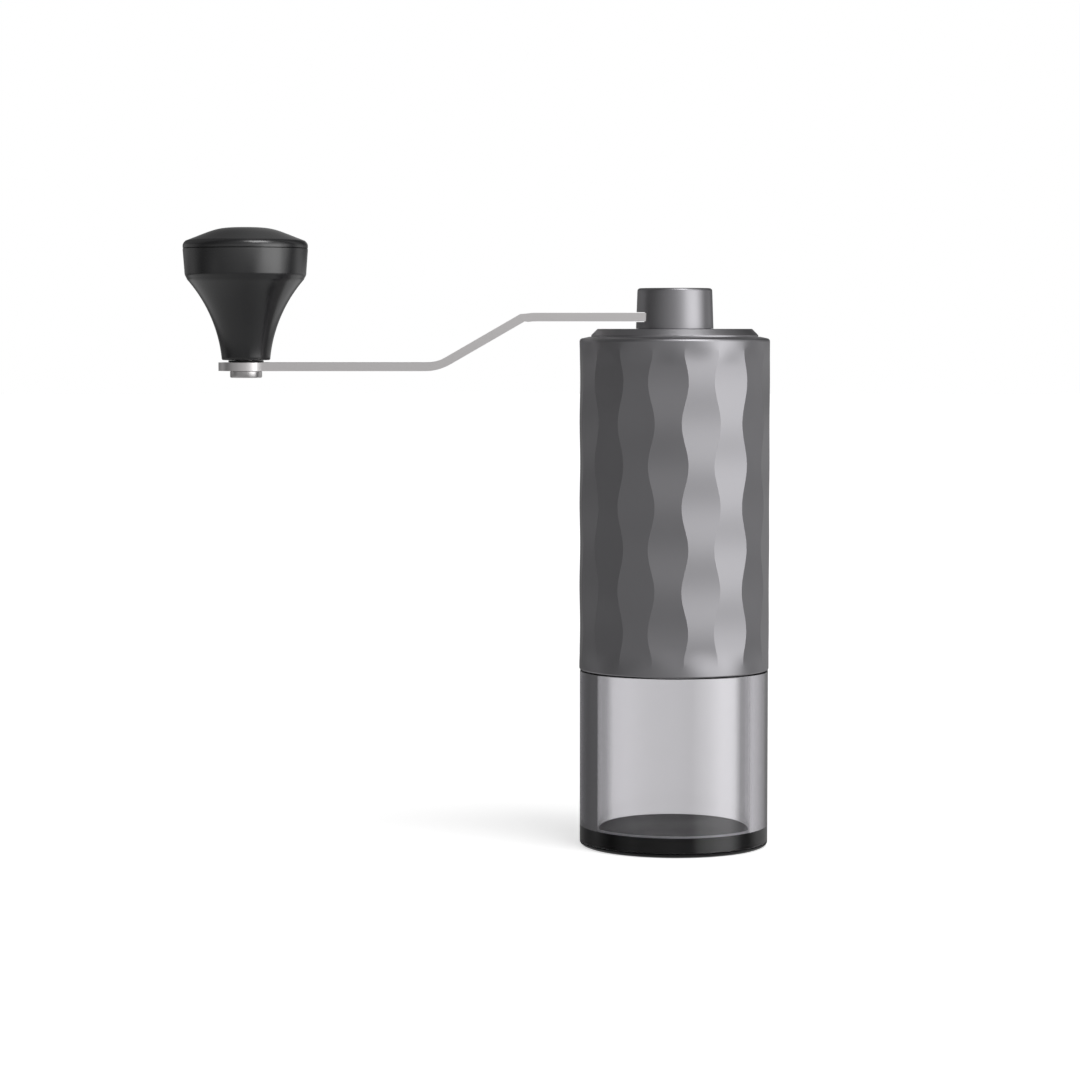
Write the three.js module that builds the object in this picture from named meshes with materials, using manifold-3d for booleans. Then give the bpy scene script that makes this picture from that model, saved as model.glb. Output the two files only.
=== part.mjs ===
// A hand crank coffee grinder: a screw-on catch cup, a wave-milled body round a
// conical burr set, and a lid with a cranked arm and a turning knob.
// Millimetres, +Z up, the axis of the shaft on Z and the base on z = 0.
import * as THREE from 'three';
import { mergeVertices } from 'three/addons/utils/BufferGeometryUtils.js';
import Module from 'manifold-3d';

const wasm = await Module();
wasm.setup();

// ---------------------------------------------------------------- clearances
const SEAT = 0.2; // between two pieces fixed to each other
const RUN = 0.3; // between two pieces that move on each other

const PAST = 1; // how far a cut runs past what it cuts
const SINK = 1; // how far joined shapes run into each other
const EDGE = 0.4; // a broken outside corner
const TOUCH = 0.01; // values closer than this count as equal

// ------------------------------------------------------- facets round a piece
const LARGE = 28;
const MEDIUM = 16;
const SMALL = 12;

// --------------------------------------------------------- body and its waves
const BODY_R = 26.0;
const BODY_HEIGHT = 90.9;
const SLEEVE_WALL = 1.6;
const LIP_HEIGHT = 1.3; // lip at the top that keeps the bracket in
const LIP_WIDTH = 1.45;
const RIM_DROP = 1.3; // fall of the rim from the lip to the outer edge
const RIM_CORNER = 0.85;
const FLUTES = 18;
const WAVE_LENGTH = 22.4;
const WAVE_DEPTH = 0.16; // how far a flute's flat moves in and out
const FIRST_CREST = 11.75; // above the bottom of the body
const FIRST_RIDGE = 3.97; // degrees from the front
const WAVE_FADE = 9.0; // length over which the flutes run out at both ends
const ROWS_PER_WAVE = 4;

// ----------------------------------------------------------------- inner core
const SKIRT_WALL = 1.6; // round the cup's neck
const BURR_WALL = 4.0; // round the outer burr
const HOPPER_WALL = 1.85;
const THROAT_LEDGE = 1.8; // over the outer burr's rim
const THROAT_HEIGHT = 1.5;
const FUNNEL_HEIGHT = 9.0;
const ARM_WIDTH = 5.0; // arms that carry the bearings
const BRIDGE_HEIGHT = 7.0;
const BRIDGE_CHAMFER = 1.0;
const SPOKES = 3;

// ----------------------------------------------------------------- catch cup
const CUP_STEP = 0.2; // from the body's surface in to the cup's
const CUP_WALL = 4.8;
const CUP_SHOULDER_Z = 48.2; // where the body lands
const NECK_HEIGHT = 7.9;
const BASE_FLOOR_Z = 5.15; // floor of the cup
const BASE_RIM = 1.0; // below the tube's end
const FOOT_WIDTH = 1.8; // from the base's outside in to its flat foot
const SEAL_HEIGHT = 1.2;
const SEAL_WIDTH = 1.4;

// ------------------------------------------------------------------- burr set
const OUTER_BURR_HEIGHT = 15.5;
const OUTER_BURR_RIM = 1.05; // beside the fine teeth
const RIDGE_BACKING = 0.7; // left behind the deepest groove
const INNER_BURR_HEIGHT = 19.5;
const BURR_DROP = 0.8; // inner burr's bottom below the outer burr's
const BURR_GAP = 0.45; // beside the fine teeth, opened wide
const FINE_HEIGHT = 5.5;
const FINE_SLOPE = 0.215; // radius lost for each millimetre of height
const FINE_TEETH = 30;
const FINE_DEPTH = 0.45;
const FINE_TWIST = 2.2; // degrees of helix for each millimetre of height
const RIBS = 6; // feeding ribs of the inner burr
const RIB_TWIST = 5.5; // degrees for each millimetre of height
const RIB_DEPTH = 4.5;
const RIB_START = 0.5; // depth of the valleys where they begin
const RIDGES = 10; // breaking ridges of the outer burr
const RIDGE_DEPTH = 1.5;
const NOSE_WALL = 3.6; // round the shaft at the inner burr's top
const BURR_TRAVEL = 1.5;
const HOLLOW_DEPTH = 7.0; // turned out of the inner burr's underside
const HOLLOW_WALL = 3.5;
const HOLLOW_HUB = 3.0; // round the shaft's bore
const RETAINER_HEIGHT = 2.4;
const RETAINER_WALL = 3.3;
const RETAINER_NOTCHES = 4;
const NOTCH_LENGTH = 1.7;
const NOTCH_WIDTH = 2.4;
const NOTCH_DEPTH = 1.2;

// ------------------------------------------------------------ shaft and dial
const SHAFT_R = 4.0;
const SHAFT_FLAT = 3.35; // from the axis to each drive flat
const STUD_R = 3.0; // threaded lower end
const STUD_OVERHANG = 0.6; // below the dial
const HEX_FLATS = 7.0;
const HEX_LEAD = 1.0; // taper at the top of the hexagon
const COLLAR_R = 5.3;
const COLLAR_HEIGHT = 1.8;
const BEARING_R = 8.0;
const BEARING_HEIGHT = 5.0;
const RACE_WALL = 1.5;
const SHIELD_HEIGHT = 0.6;
const OUTER_RACE_WALL = 0.9;
const BEARING_LIP = 1.0;
const HUB_WALL = 2.2; // round a bearing
const LOWER_BEARING_RISE = 14.0; // above the outer burr's seat
const CLIP_HEIGHT = 0.8;
const CLIP_GROOVE = 0.6;
const SPRING_WASHER_HEIGHT = 0.8;
const SPRING_WIRE = 1.1;
const SPRING_TURNS = 5;
const PLATE_R = 13.5;
const PLATE_HEIGHT = 1.2;
const CLICKS = 18; // grooves in the click plate
const CLICK_R = 11.0;
const CLICK_LENGTH = 3.2;
const CLICK_DEPTH = 0.4;
const DIAL_R = 15.0;
const DIAL_HEIGHT = 5.8;
const DIAL_CHAMFER = 1.2;
const DIAL_FLUTES = 12;
const DIAL_FLUTE_DEPTH = 0.8;
const DIAL_RECESS_R = 6.4;
const DIAL_RECESS_DEPTH = 1.2;
const POCKET_FLOOR = 1.2;
const BALL_R = 1.0;
const BALLS = 2;
const DETENT_WIRE = 0.35;
const DETENT_TURNS = 3;

// ------------------------------------------------------------- upper bracket
const BRACKET_WALL = 3.5;
const BRACKET_ARM_HEIGHT = 3.6;

// ----------------------------------------------------------------------- lid
const LID_HEIGHT = 3.4;
const LID_CHAMFER = 1.7;
const DUST_RING_WIDTH = 1.2; // ring on the lid, in a groove under the hub
const DUST_RING_HEIGHT = 0.4;
const LINER_HEIGHT = 4.4;
const LINER_CLEAR = 1.8; // round the upper bearing's hub
const ORING_R = 0.75;
const ORING_SIDES = 6;
const BUSH_WALL = 1.3;
const BUSH_FLANGE = 1.5;
const BUSH_FLANGE_HEIGHT = 1.0;
const CLIP_PLAY = 0.8; // between the bush and the clip that keeps the lid on

// ----------------------------------------------------------- crank and its hub
const HUB_R = 10.55;
const HUB_TAPER = 0.35; // smaller at the top
const HUB_HEIGHT = 10.85;
const HUB_CORNER = 0.8;
const HUB_CAP = 1.8;
const HUB_RIM = 0.5; // outside the groove for the lid's ring
const SOCKET_R = 6.0;
const SOCKET_CAP = 1.1; // over the hexagon bore
const SPIGOT_R = 5.0;
const CRANK_WIDTH = 13.0;
const CRANK_THICKNESS = 2.28;
const CRANK_RISE = 1.86; // arm's underside above the hub's
const CRANK_DROP = 13.48; // from the upper level to the lower one
const CRANK_SLOPE = 30; // degrees
const CRANK_BEND_X = 41.2; // from the shaft's axis to the upper bend
const CRANK_BEND_R = 11.5;
const BEND_STEPS = 4;
const CRANK_REACH = 116.9; // from the shaft's axis to the knob's
const EYE_EXTRA = 1.0; // how far the eye is wider than the arm, each side

// ---------------------------------------------------------------------- knob
const PIN_R = 2.5;
const PIN_HEAD_R = 4.35;
const PIN_HEAD_HEIGHT = 1.8;
const PIN_KEY_FLATS = 3.0;
const PIN_KEY_DEPTH = 1.1;
const PIN_END = 0.6; // through the nut
const PIN_NUT_FLATS = 8.0;
const PIN_NUT_HEIGHT = 3.0;
const WASHER_R = 4.8;
const WASHER_HEIGHT = 0.45;
const KNOB_BUSH_WALL = 1.4;
const KNOB_FOOT_R = 6.62;
const KNOB_R = 17.0;
const KNOB_HEIGHT = 36.1;
const KNOB_CAP_HEIGHT = 5.8;
const KNOB_RIM_HEIGHT = 2.03; // cap's side, from the seam to where its dome starts
const KNOB_RIM_WIDTH = 0.81;
const KNOB_DOME_FALL = 0.43;
const KNOB_WALL = 3.0;
const KNOB_SPIGOT = 2.6;
const NUT_ROOM_R = 6.4;
const NUT_ROOM_TOP = 0.8; // above the seam
// Points of the grip's outline, as shares of the knob's radius and height.
const GRIP_WAIST = [0.423, 0.185];
const GRIP_FLARE = [0.571, 0.41];
const GRIP_TURN = [0.933, 0.606];
const GRIP_CORNER = [0.954, 0.631];
const GRIP_SHOULDER = [0.972, 0.655];
const DOME_SHARES = [0.457, 0.47];

// ---------------------------------------------------- levels, from the base up
const BODY_Z = CUP_SHOULDER_Z + RUN;
const NECK_TOP_Z = CUP_SHOULDER_Z + NECK_HEIGHT;
const SEAL_Z = NECK_TOP_Z + SEAT;
const RETAINER_Z = SEAL_Z + SEAL_HEIGHT + SEAT;
const OUTER_BURR_Z = RETAINER_Z + RETAINER_HEIGHT + SEAT;
const LEDGE_Z = OUTER_BURR_Z + OUTER_BURR_HEIGHT + SEAT;
const LOWER_BEARING_Z = LEDGE_Z + LOWER_BEARING_RISE;
const INNER_BURR_Z = OUTER_BURR_Z - BURR_DROP;
const INNER_BURR_TOP_Z = INNER_BURR_Z + INNER_BURR_HEIGHT;
const PLATE_Z = INNER_BURR_Z - SEAT - PLATE_HEIGHT;
const DIAL_Z = PLATE_Z - RUN - DIAL_HEIGHT;
const STUD_TOP_Z = PLATE_Z - SEAT + BURR_TRAVEL + RUN;
const CIRCLIP_Z = LOWER_BEARING_Z - SEAT - CLIP_HEIGHT;
const SPRING_WASHER_Z = CIRCLIP_Z - SEAT - SPRING_WASHER_HEIGHT;
const BODY_TOP_Z = BODY_Z + BODY_HEIGHT;
const LIP_Z = BODY_TOP_Z - LIP_HEIGHT;
const BRACKET_TOP_Z = LIP_Z - SEAT;
const LID_Z = BRACKET_TOP_Z + SEAT;
const BUSH_Z = LID_Z - SEAT - BUSH_FLANGE_HEIGHT;
const CLIP_Z = BUSH_Z - CLIP_PLAY - CLIP_HEIGHT;
const SOCKET_Z = CLIP_Z - CLIP_GROOVE;
const HEX_Z = SOCKET_Z - RUN;
const UPPER_BEARING_Z = HEX_Z - RUN - BEARING_HEIGHT;
const BRACKET_Z = UPPER_BEARING_Z - SEAT - BEARING_LIP;
const CORE_TOP_Z = BRACKET_Z - SEAT;
const LID_TOP_Z = LID_Z + LID_HEIGHT;
const HUB_Z = LID_TOP_Z + SEAT;
const HUB_TOP_Z = HUB_Z + HUB_HEIGHT;
const CRANK_Z = HUB_Z + CRANK_RISE;
const CRANK_TOP_Z = CRANK_Z + CRANK_THICKNESS;
const CRANK_LOW_Z = CRANK_Z - CRANK_DROP;
const SOCKET_SHOULDER_Z = CRANK_Z - SEAT;
const SPIGOT_TOP_Z = HUB_TOP_Z - HUB_CAP - SEAT;
const SHAFT_TOP_Z = SPIGOT_TOP_Z - SOCKET_CAP - RUN;
const LOW_TOP_Z = CRANK_LOW_Z + CRANK_THICKNESS;
const WASHER_Z = LOW_TOP_Z + SEAT / 2;
const KNOB_Z = WASHER_Z + WASHER_HEIGHT + SEAT / 2;
const KNOB_TOP_Z = KNOB_Z + KNOB_HEIGHT;
const KNOB_SEAM_Z = KNOB_TOP_Z - KNOB_CAP_HEIGHT;
const NUT_Z = KNOB_SEAM_Z - KNOB_SPIGOT - PIN_NUT_HEIGHT;
const KNOB_BUSH_TOP_Z = NUT_Z - RUN;

// ------------------------------------------------- radii, from the outside in
const BORE_R = BODY_R - SLEEVE_WALL;
const CORE_R = BORE_R - SEAT;
const SKIRT_R = CORE_R - SKIRT_WALL;
const HOPPER_R = CORE_R - HOPPER_WALL;
const BURR_SEAT_R = CORE_R - BURR_WALL;
const THROAT_R = BURR_SEAT_R - THROAT_LEDGE;
const CUP_R = BODY_R - CUP_STEP;
const CUP_BORE_R = CUP_R - CUP_WALL;
const NECK_R = SKIRT_R - RUN;
const OUTER_BURR_R = BURR_SEAT_R - SEAT;
const INNER_BURR_R = OUTER_BURR_R - OUTER_BURR_RIM - BURR_GAP;
const BURR_NOSE_R = SHAFT_R + NOSE_WALL;
const RETAINER_R = SKIRT_R - SEAT;
const BRACKET_BORE_R = CORE_R - BRACKET_WALL;
const LIP_R = BORE_R - LIP_WIDTH;
const LID_R = LIP_R - SEAT;
const LINER_R = BRACKET_BORE_R - RUN;

// ---------------------------------------------------- radii, round the shaft
const BEARING_SEAT_R = BEARING_R + SEAT;
const BEARING_HUB_R = BEARING_SEAT_R + HUB_WALL;
const BEARING_LIP_R = BEARING_R - RACE_WALL + SEAT;
const LINER_BORE_R = BEARING_HUB_R + LINER_CLEAR;
const BUSH_BORE_R = SOCKET_R + RUN;
const BUSH_R = BUSH_BORE_R + BUSH_WALL;
const HUB_TOP_R = HUB_R - HUB_TAPER;
const DUST_RING_R = HUB_R - HUB_RIM - SEAT;
const SPRING_R = SHAFT_R + SPRING_WIRE / 2 + 2 * SEAT;
const EYE_R = CRANK_WIDTH / 2 + EYE_EXTRA;
const KNOB_BORE_R = PIN_R + SEAT;
const KNOB_BUSH_R = KNOB_BORE_R + KNOB_BUSH_WALL;

// -------------------------------------------------------------------- finish
function finish(color, roughness, metalness, opacity = 1) {
  const transparent = opacity < 1;
  return new THREE.MeshStandardMaterial({ color, roughness, metalness, opacity, transparent });
}
const GUNMETAL = finish(0x77777a, 0.42, 0.9);
const SATIN_STEEL = finish(0xb3aeae, 0.35, 1.0);
const BURR_STEEL = finish(0x9a9a9c, 0.3, 1.0);
const SPRING_STEEL = finish(0x8d9095, 0.3, 1.0);
const BLACK_ANODISED = finish(0x202124, 0.4, 0.6);
const BLACK_PLASTIC = finish(0x1c1d20, 0.45, 0.0);
const BLACK_RUBBER = finish(0x1d1f21, 0.6, 0.0);
const SMOKED_CLEAR = finish(0xb9b7bd, 0.05, 0.0, 0.4);
const BRONZE = finish(0x9c7a45, 0.45, 0.9);
const ACETAL = finish(0xd9d9d4, 0.5, 0.0);

// --------------------------------------------------------------- solid helpers
const V = (x, y) => new THREE.Vector2(x, y);

function toSolid(geometry) {
  geometry.deleteAttribute('normal');
  geometry.deleteAttribute('uv');
  const merged = mergeVertices(geometry, 1e-4);
  const index = merged.index.array;
  const kept = [];
  for (let i = 0; i < index.length; i += 3) {
    const [a, b, c] = [index[i], index[i + 1], index[i + 2]];
    if (a !== b && b !== c && c !== a) kept.push(a, b, c);
  }
  const vertProperties = new Float32Array(merged.attributes.position.array);
  const triVerts = new Uint32Array(kept);
  return new wasm.Manifold(new wasm.Mesh({ numProp: 3, vertProperties, triVerts }));
}

function toGeometry(solid) {
  const { vertProperties, triVerts } = solid.getMesh();
  const geometry = new THREE.BufferGeometry();
  geometry.setAttribute('position', new THREE.BufferAttribute(vertProperties, 3));
  geometry.setIndex(new THREE.BufferAttribute(triVerts, 1));
  return geometry;
}

const cut = (body, ...tools) => tools.reduce((rest, tool) => rest.subtract(tool), body);
const join = (body, ...others) => others.reduce((sum, other) => sum.add(other), body);

// Turns an outline of [radius, height] points about Z. An outline that doesn't
// start on the axis is a ring, and closes on itself.
function turned(outline, facets = MEDIUM) {
  const points = outline.map((p) => (p.isVector2 ? p : V(...p)));
  if (points[0].x > 0) points.push(points[0].clone());
  return new THREE.LatheGeometry(points, facets).rotateX(Math.PI / 2);
}

// Turns an outline, then lets place(column, radius, height) say where each vertex
// goes, as [radius, angle]. Angles run from the front (-Y) towards +X.
function carved(outline, columns, place) {
  const geometry = turned(outline, columns);
  const position = geometry.attributes.position;
  const rows = position.count / (columns + 1);
  for (let i = 0; i < position.count; i += 1) {
    const r = Math.hypot(position.getX(i), position.getY(i));
    const z = position.getZ(i);
    const column = Math.floor(i / rows) % columns;
    const [radius, angle] = place(column, r, z);
    position.setXYZ(i, radius * Math.sin(angle), -radius * Math.cos(angle), z);
  }
  return geometry;
}

const ring = (inner, outer, z, height, facets) => turned(
  [[inner, z], [outer, z], [outer, z + height], [inner, z + height]], facets);

const disc = (radius, z, height, facets) => turned(
  [[0, z], [radius, z], [radius, z + height], [0, z + height]], facets);

// Extrudes a plan outline upwards from z.
function raised(shape, z, height, curveSegments = 8) {
  const options = { depth: height, bevelEnabled: false, curveSegments };
  return new THREE.ExtrudeGeometry(shape, options).translate(0, 0, z);
}

function polygon(radius, sides, start = 0) {
  const corner = (i) => start + (2 * Math.PI * i) / sides;
  const shape = new THREE.Shape();
  for (let i = 0; i < sides; i += 1) {
    const x = radius * Math.cos(corner(i));
    const y = radius * Math.sin(corner(i));
    if (i === 0) shape.moveTo(x, y);
    else shape.lineTo(x, y);
  }
  return shape;
}

const hexagon = (acrossFlats) => polygon(acrossFlats / Math.sqrt(3), 6);

// A round bar with two flats, as a plan outline.
function doubleFlat(radius, flat) {
  const angle = Math.acos(flat / radius);
  const shape = new THREE.Shape();
  shape.absarc(0, 0, radius, angle, Math.PI - angle, false);
  shape.absarc(0, 0, radius, Math.PI + angle, 2 * Math.PI - angle, false);
  return shape;
}

// Spokes from a hub to a wall, as one solid.
function spokes(from, to, z, height) {
  const length = to - from;
  const bars = Array.from({ length: SPOKES }, (_, i) => {
    const bar = new THREE.BoxGeometry(length, ARM_WIDTH, height);
    bar.translate(from + length / 2, 0, z + height / 2);
    return toSolid(bar.rotateZ(Math.PI / 6 + (2 * Math.PI * i) / SPOKES));
  });
  return join(...bars);
}

class Helix extends THREE.Curve {
  constructor(radius, turns, height) {
    super();
    this.radius = radius;
    this.turns = turns;
    this.height = height;
  }

  getPoint(t, target = new THREE.Vector3()) {
    const angle = 2 * Math.PI * this.turns * t;
    const [x, y] = [this.radius * Math.cos(angle), this.radius * Math.sin(angle)];
    return target.set(x, y, this.height * t);
  }
}

// A round-wire compression spring standing on z, filling the height.
function spring(radius, wire, turns, z, height, sides = 5, steps = 8) {
  const path = new Helix(radius, turns, height - wire);
  const section = polygon(wire / 2, sides);
  const options = { extrudePath: path, steps: Math.round(turns * steps) };
  return new THREE.ExtrudeGeometry(section, options).translate(0, 0, z + wire / 2);
}

// A ring with a gap, as a retaining clip has.
function clip(inner, outer, z, height) {
  const gap = new THREE.BoxGeometry(outer, inner, 3 * height);
  gap.translate(inner + outer / 2, 0, z + height / 2);
  return toGeometry(cut(toSolid(ring(inner, outer, z, height, MEDIUM)), toSolid(gap)));
}

const part = new THREE.Group();

function add(name, geometry, material, place = [0, 0, 0]) {
  const mesh = new THREE.Mesh(geometry, material.clone());
  mesh.name = name;
  mesh.position.set(...place);
  part.add(mesh);
}

// ----------------------------------------------------------------- catch cup
// Clear moulded tube with a threaded neck, open below for the base.
function catchCup() {
  const endZ = BASE_RIM + SEAT;
  return turned([
    [CUP_BORE_R, endZ], [CUP_R, endZ], [CUP_R, CUP_SHOULDER_Z], [NECK_R, CUP_SHOULDER_Z],
    [NECK_R, NECK_TOP_Z - EDGE], [NECK_R - EDGE, NECK_TOP_Z], [CUP_BORE_R, NECK_TOP_Z],
  ], LARGE);
}

// Black non-slip base: a plug whose top is the cup's floor, with a thin rim under
// the tube's end.
function cupBase() {
  const plugR = CUP_BORE_R - SEAT;
  return turned([
    [0, 0], [CUP_R - FOOT_WIDTH, 0], [CUP_R - 0.3 * FOOT_WIDTH, 0.4 * BASE_RIM],
    [CUP_R, BASE_RIM], [plugR, BASE_RIM], [plugR, BASE_FLOOR_Z - EDGE],
    [plugR - EDGE, BASE_FLOOR_Z], [0, BASE_FLOOR_Z],
  ], LARGE);
}

// ---------------------------------------------------------------- body sleeve
// Eighteen flats are milled up the sleeve. Each flat moves in and out in a slow
// wave, against its neighbours, so the ridges between them swing left and right.
const flatAngle = (2 * Math.PI) / FLUTES;
const flatDepth = BODY_R * Math.cos(flatAngle / 2);

function flatDistance(flute, z) {
  const phase = (2 * Math.PI * (z - BODY_Z - FIRST_CREST)) / WAVE_LENGTH;
  const side = flute % 2 === 0 ? 1 : -1;
  return flatDepth + side * WAVE_DEPTH * Math.cos(phase);
}

// Angle of the ridge between two flats, from the middle of the first.
function ridgeAngle(flute, z) {
  const ratio = flatDistance(flute + 1, z) / flatDistance(flute, z);
  return Math.atan((ratio - Math.cos(flatAngle)) / Math.sin(flatAngle));
}

function waveStrength(z) {
  const fromEnd = Math.min(z - BODY_Z, BODY_TOP_Z - z);
  return THREE.MathUtils.smoothstep(fromEnd, 0.08 * WAVE_FADE, WAVE_FADE);
}

function bodySleeve() {
  const perFlute = 2;
  const firstMiddle = THREE.MathUtils.degToRad(FIRST_RIDGE) + flatAngle / 2;
  const rows = Math.ceil((BODY_HEIGHT / WAVE_LENGTH) * ROWS_PER_WAVE);
  const low = BODY_Z + EDGE;
  const high = BODY_TOP_Z - RIM_DROP;
  const skin = Array.from({ length: rows + 1 }, (_, i) => [
    BODY_R, THREE.MathUtils.lerp(low, high, i / rows)]);
  const outline = [
    [BORE_R, BODY_Z], [BODY_R - EDGE, BODY_Z], ...skin,
    [BODY_R - 0.3 * RIM_CORNER, high + 0.6 * RIM_CORNER],
    [BODY_R - RIM_CORNER, high + RIM_CORNER],
    [LIP_R, BODY_TOP_Z], [LIP_R, LIP_Z], [BORE_R, LIP_Z],
  ];
  return carved(outline, FLUTES * perFlute, (column, r, z) => {
    const flute = Math.floor(column / perFlute);
    const middle = firstMiddle + flute * flatAngle;
    const start = ridgeAngle(flute + FLUTES - 1, z) - flatAngle;
    const across = (column % perFlute) / perFlute;
    const milled = THREE.MathUtils.lerp(start, ridgeAngle(flute, z), across);
    const plain = (across - 0.5) * flatAngle;
    const strength = r > BODY_R - TOUCH ? waveStrength(z) : 0;
    const angle = THREE.MathUtils.lerp(plain, milled, strength);
    const flat = flatDistance(flute, z) / Math.cos(milled);
    return [THREE.MathUtils.lerp(r, flat, strength), middle + angle];
  });
}

// ----------------------------------------------------------------- inner core
// Threaded skirt, burr seat, funnel and hopper wall in one piece, with a
// three-armed bridge for the lower bearing.
function innerCore() {
  const throatTopZ = LEDGE_Z + THROAT_HEIGHT;
  const wall = toSolid(turned([
    [SKIRT_R, BODY_Z], [CORE_R, BODY_Z], [CORE_R, CORE_TOP_Z], [HOPPER_R, CORE_TOP_Z],
    [HOPPER_R, throatTopZ + FUNNEL_HEIGHT], [THROAT_R, throatTopZ],
    [THROAT_R, LEDGE_Z], [BURR_SEAT_R, LEDGE_Z], [BURR_SEAT_R, OUTER_BURR_Z],
    [SKIRT_R, OUTER_BURR_Z],
  ], LARGE));
  const hubZ = LOWER_BEARING_Z - SEAT - BEARING_LIP;
  const hubTopZ = LOWER_BEARING_Z + BEARING_HEIGHT;
  const hub = toSolid(turned([
    [BEARING_LIP_R, hubZ], [BEARING_HUB_R - BRIDGE_CHAMFER, hubZ],
    [BEARING_HUB_R, hubZ + BRIDGE_CHAMFER], [BEARING_HUB_R, hubTopZ],
    [BEARING_SEAT_R, hubTopZ], [BEARING_SEAT_R, LOWER_BEARING_Z - SEAT],
    [BEARING_LIP_R, LOWER_BEARING_Z - SEAT],
  ], MEDIUM));
  const arms = spokes(BEARING_HUB_R - SINK, HOPPER_R + SINK, hubZ, BRIDGE_HEIGHT);
  return toGeometry(join(wall, hub, arms));
}

// ------------------------------------------------------------------- burr set
const burrSlope = (z) => INNER_BURR_R - (z - INNER_BURR_Z - BURR_DROP) * FINE_SLOPE;
const fineTopZ = OUTER_BURR_Z + FINE_HEIGHT;
const fineTopR = burrSlope(fineTopZ);
const BURR_COLUMNS = 2 * FINE_TEETH;

// Helix angle of both burrs at a height: gentle in the fine band, steeper above.
function burrTwist(z) {
  const fine = Math.min(z, fineTopZ) - OUTER_BURR_Z;
  const coarse = Math.max(z - fineTopZ, 0);
  return THREE.MathUtils.degToRad(fine * FINE_TWIST + coarse * RIB_TWIST);
}

// Saw-tooth along the columns: 1 at each steep face, falling to 0 before it.
function saw(column, count) {
  const span = BURR_COLUMNS / count;
  const step = ((column % span) + span) % span;
  return step === 0 ? 1 : (step - 1) / span;
}

// Outer burr: a ring cut by a toothed plug, with fine teeth below and breaking
// ridges above.
function outerBurr() {
  const top = OUTER_BURR_Z + OUTER_BURR_HEIGHT;
  const waistR = burrSlope(fineTopZ) + BURR_GAP - RIB_START;
  const fine = Array.from({ length: 3 }, (_, i) => {
    const z = THREE.MathUtils.lerp(OUTER_BURR_Z - PAST, fineTopZ, i / 2);
    return [burrSlope(z) + BURR_GAP, z];
  });
  const coarse = Array.from({ length: 3 }, (_, i) => {
    const t = (i + 1) / 3;
    const radius = THREE.MathUtils.lerp(waistR, THROAT_R - SEAT, t * t);
    return [radius, THREE.MathUtils.lerp(fineTopZ, top + PAST, t)];
  });
  const outline = [[0, OUTER_BURR_Z - PAST], ...fine, ...coarse, [0, top + PAST]];
  const plug = carved(outline, BURR_COLUMNS, (column, r, z) => {
    const angle = (2 * Math.PI * column) / BURR_COLUMNS;
    if (r < TOUCH) return [0, angle];
    const isFine = z < fineTopZ + TOUCH;
    const groove = isFine ? FINE_DEPTH * (column % 2) : RIDGE_DEPTH * (1 - saw(column, RIDGES));
    return [Math.min(r + groove, OUTER_BURR_R - RIDGE_BACKING), angle + burrTwist(z)];
  });
  const blank = turned([
    [0, OUTER_BURR_Z], [OUTER_BURR_R - EDGE, OUTER_BURR_Z],
    [OUTER_BURR_R, OUTER_BURR_Z + EDGE], [OUTER_BURR_R, top], [0, top],
  ], LARGE);
  return toGeometry(cut(toSolid(blank), toSolid(plug)));
}

// Inner burr: a cone whose ribs draw the beans down to its fine teeth, hollow
// underneath round the shaft's hub.
function innerBurr() {
  const ribHeight = INNER_BURR_TOP_Z - fineTopZ;
  const fine = Array.from({ length: 3 }, (_, i) => {
    const z = THREE.MathUtils.lerp(INNER_BURR_Z + BURR_DROP, fineTopZ, i / 2);
    return [burrSlope(z), z];
  });
  const ribs = Array.from({ length: 4 }, (_, i) => {
    const t = (i + 1) / 4;
    const fall = (fineTopR - BURR_NOSE_R) * (0.35 * t + 0.65 * t * t);
    return [fineTopR - fall, fineTopZ + ribHeight * t];
  });
  const outline = [
    [0, INNER_BURR_Z], [INNER_BURR_R - BURR_DROP, INNER_BURR_Z], ...fine, ...ribs,
    [0, INNER_BURR_TOP_Z],
  ];
  const cone = carved(outline, BURR_COLUMNS, (column, r, z) => {
    const angle = (2 * Math.PI * column) / BURR_COLUMNS;
    if (r < TOUCH) return [0, angle];
    const rise = THREE.MathUtils.clamp((z - fineTopZ) / ribHeight, 0, 1);
    const valley = RIB_START + RIB_DEPTH * Math.sin(Math.PI * Math.sqrt(rise));
    const isFine = z < fineTopZ + TOUCH;
    const groove = isFine ? FINE_DEPTH * (column % 2) : valley * (1 - saw(column, RIBS));
    return [r - groove, angle + burrTwist(z)];
  });
  const bore = raised(doubleFlat(SHAFT_R + SEAT, SHAFT_FLAT + SEAT), INNER_BURR_Z - PAST,
    INNER_BURR_HEIGHT + 2 * PAST);
  const hubR = SHAFT_R + SEAT + HOLLOW_HUB;
  const hollowR = INNER_BURR_R - BURR_DROP - HOLLOW_WALL;
  const hollow = turned([
    [hubR, INNER_BURR_Z - PAST], [hollowR, INNER_BURR_Z - PAST], [hollowR, INNER_BURR_Z],
    [(hubR + hollowR) / 2, INNER_BURR_Z + HOLLOW_DEPTH], [hubR, INNER_BURR_Z + HOLLOW_DEPTH],
  ], MEDIUM);
  return toGeometry(cut(toSolid(cone), toSolid(bore), toSolid(hollow)));
}

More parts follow.
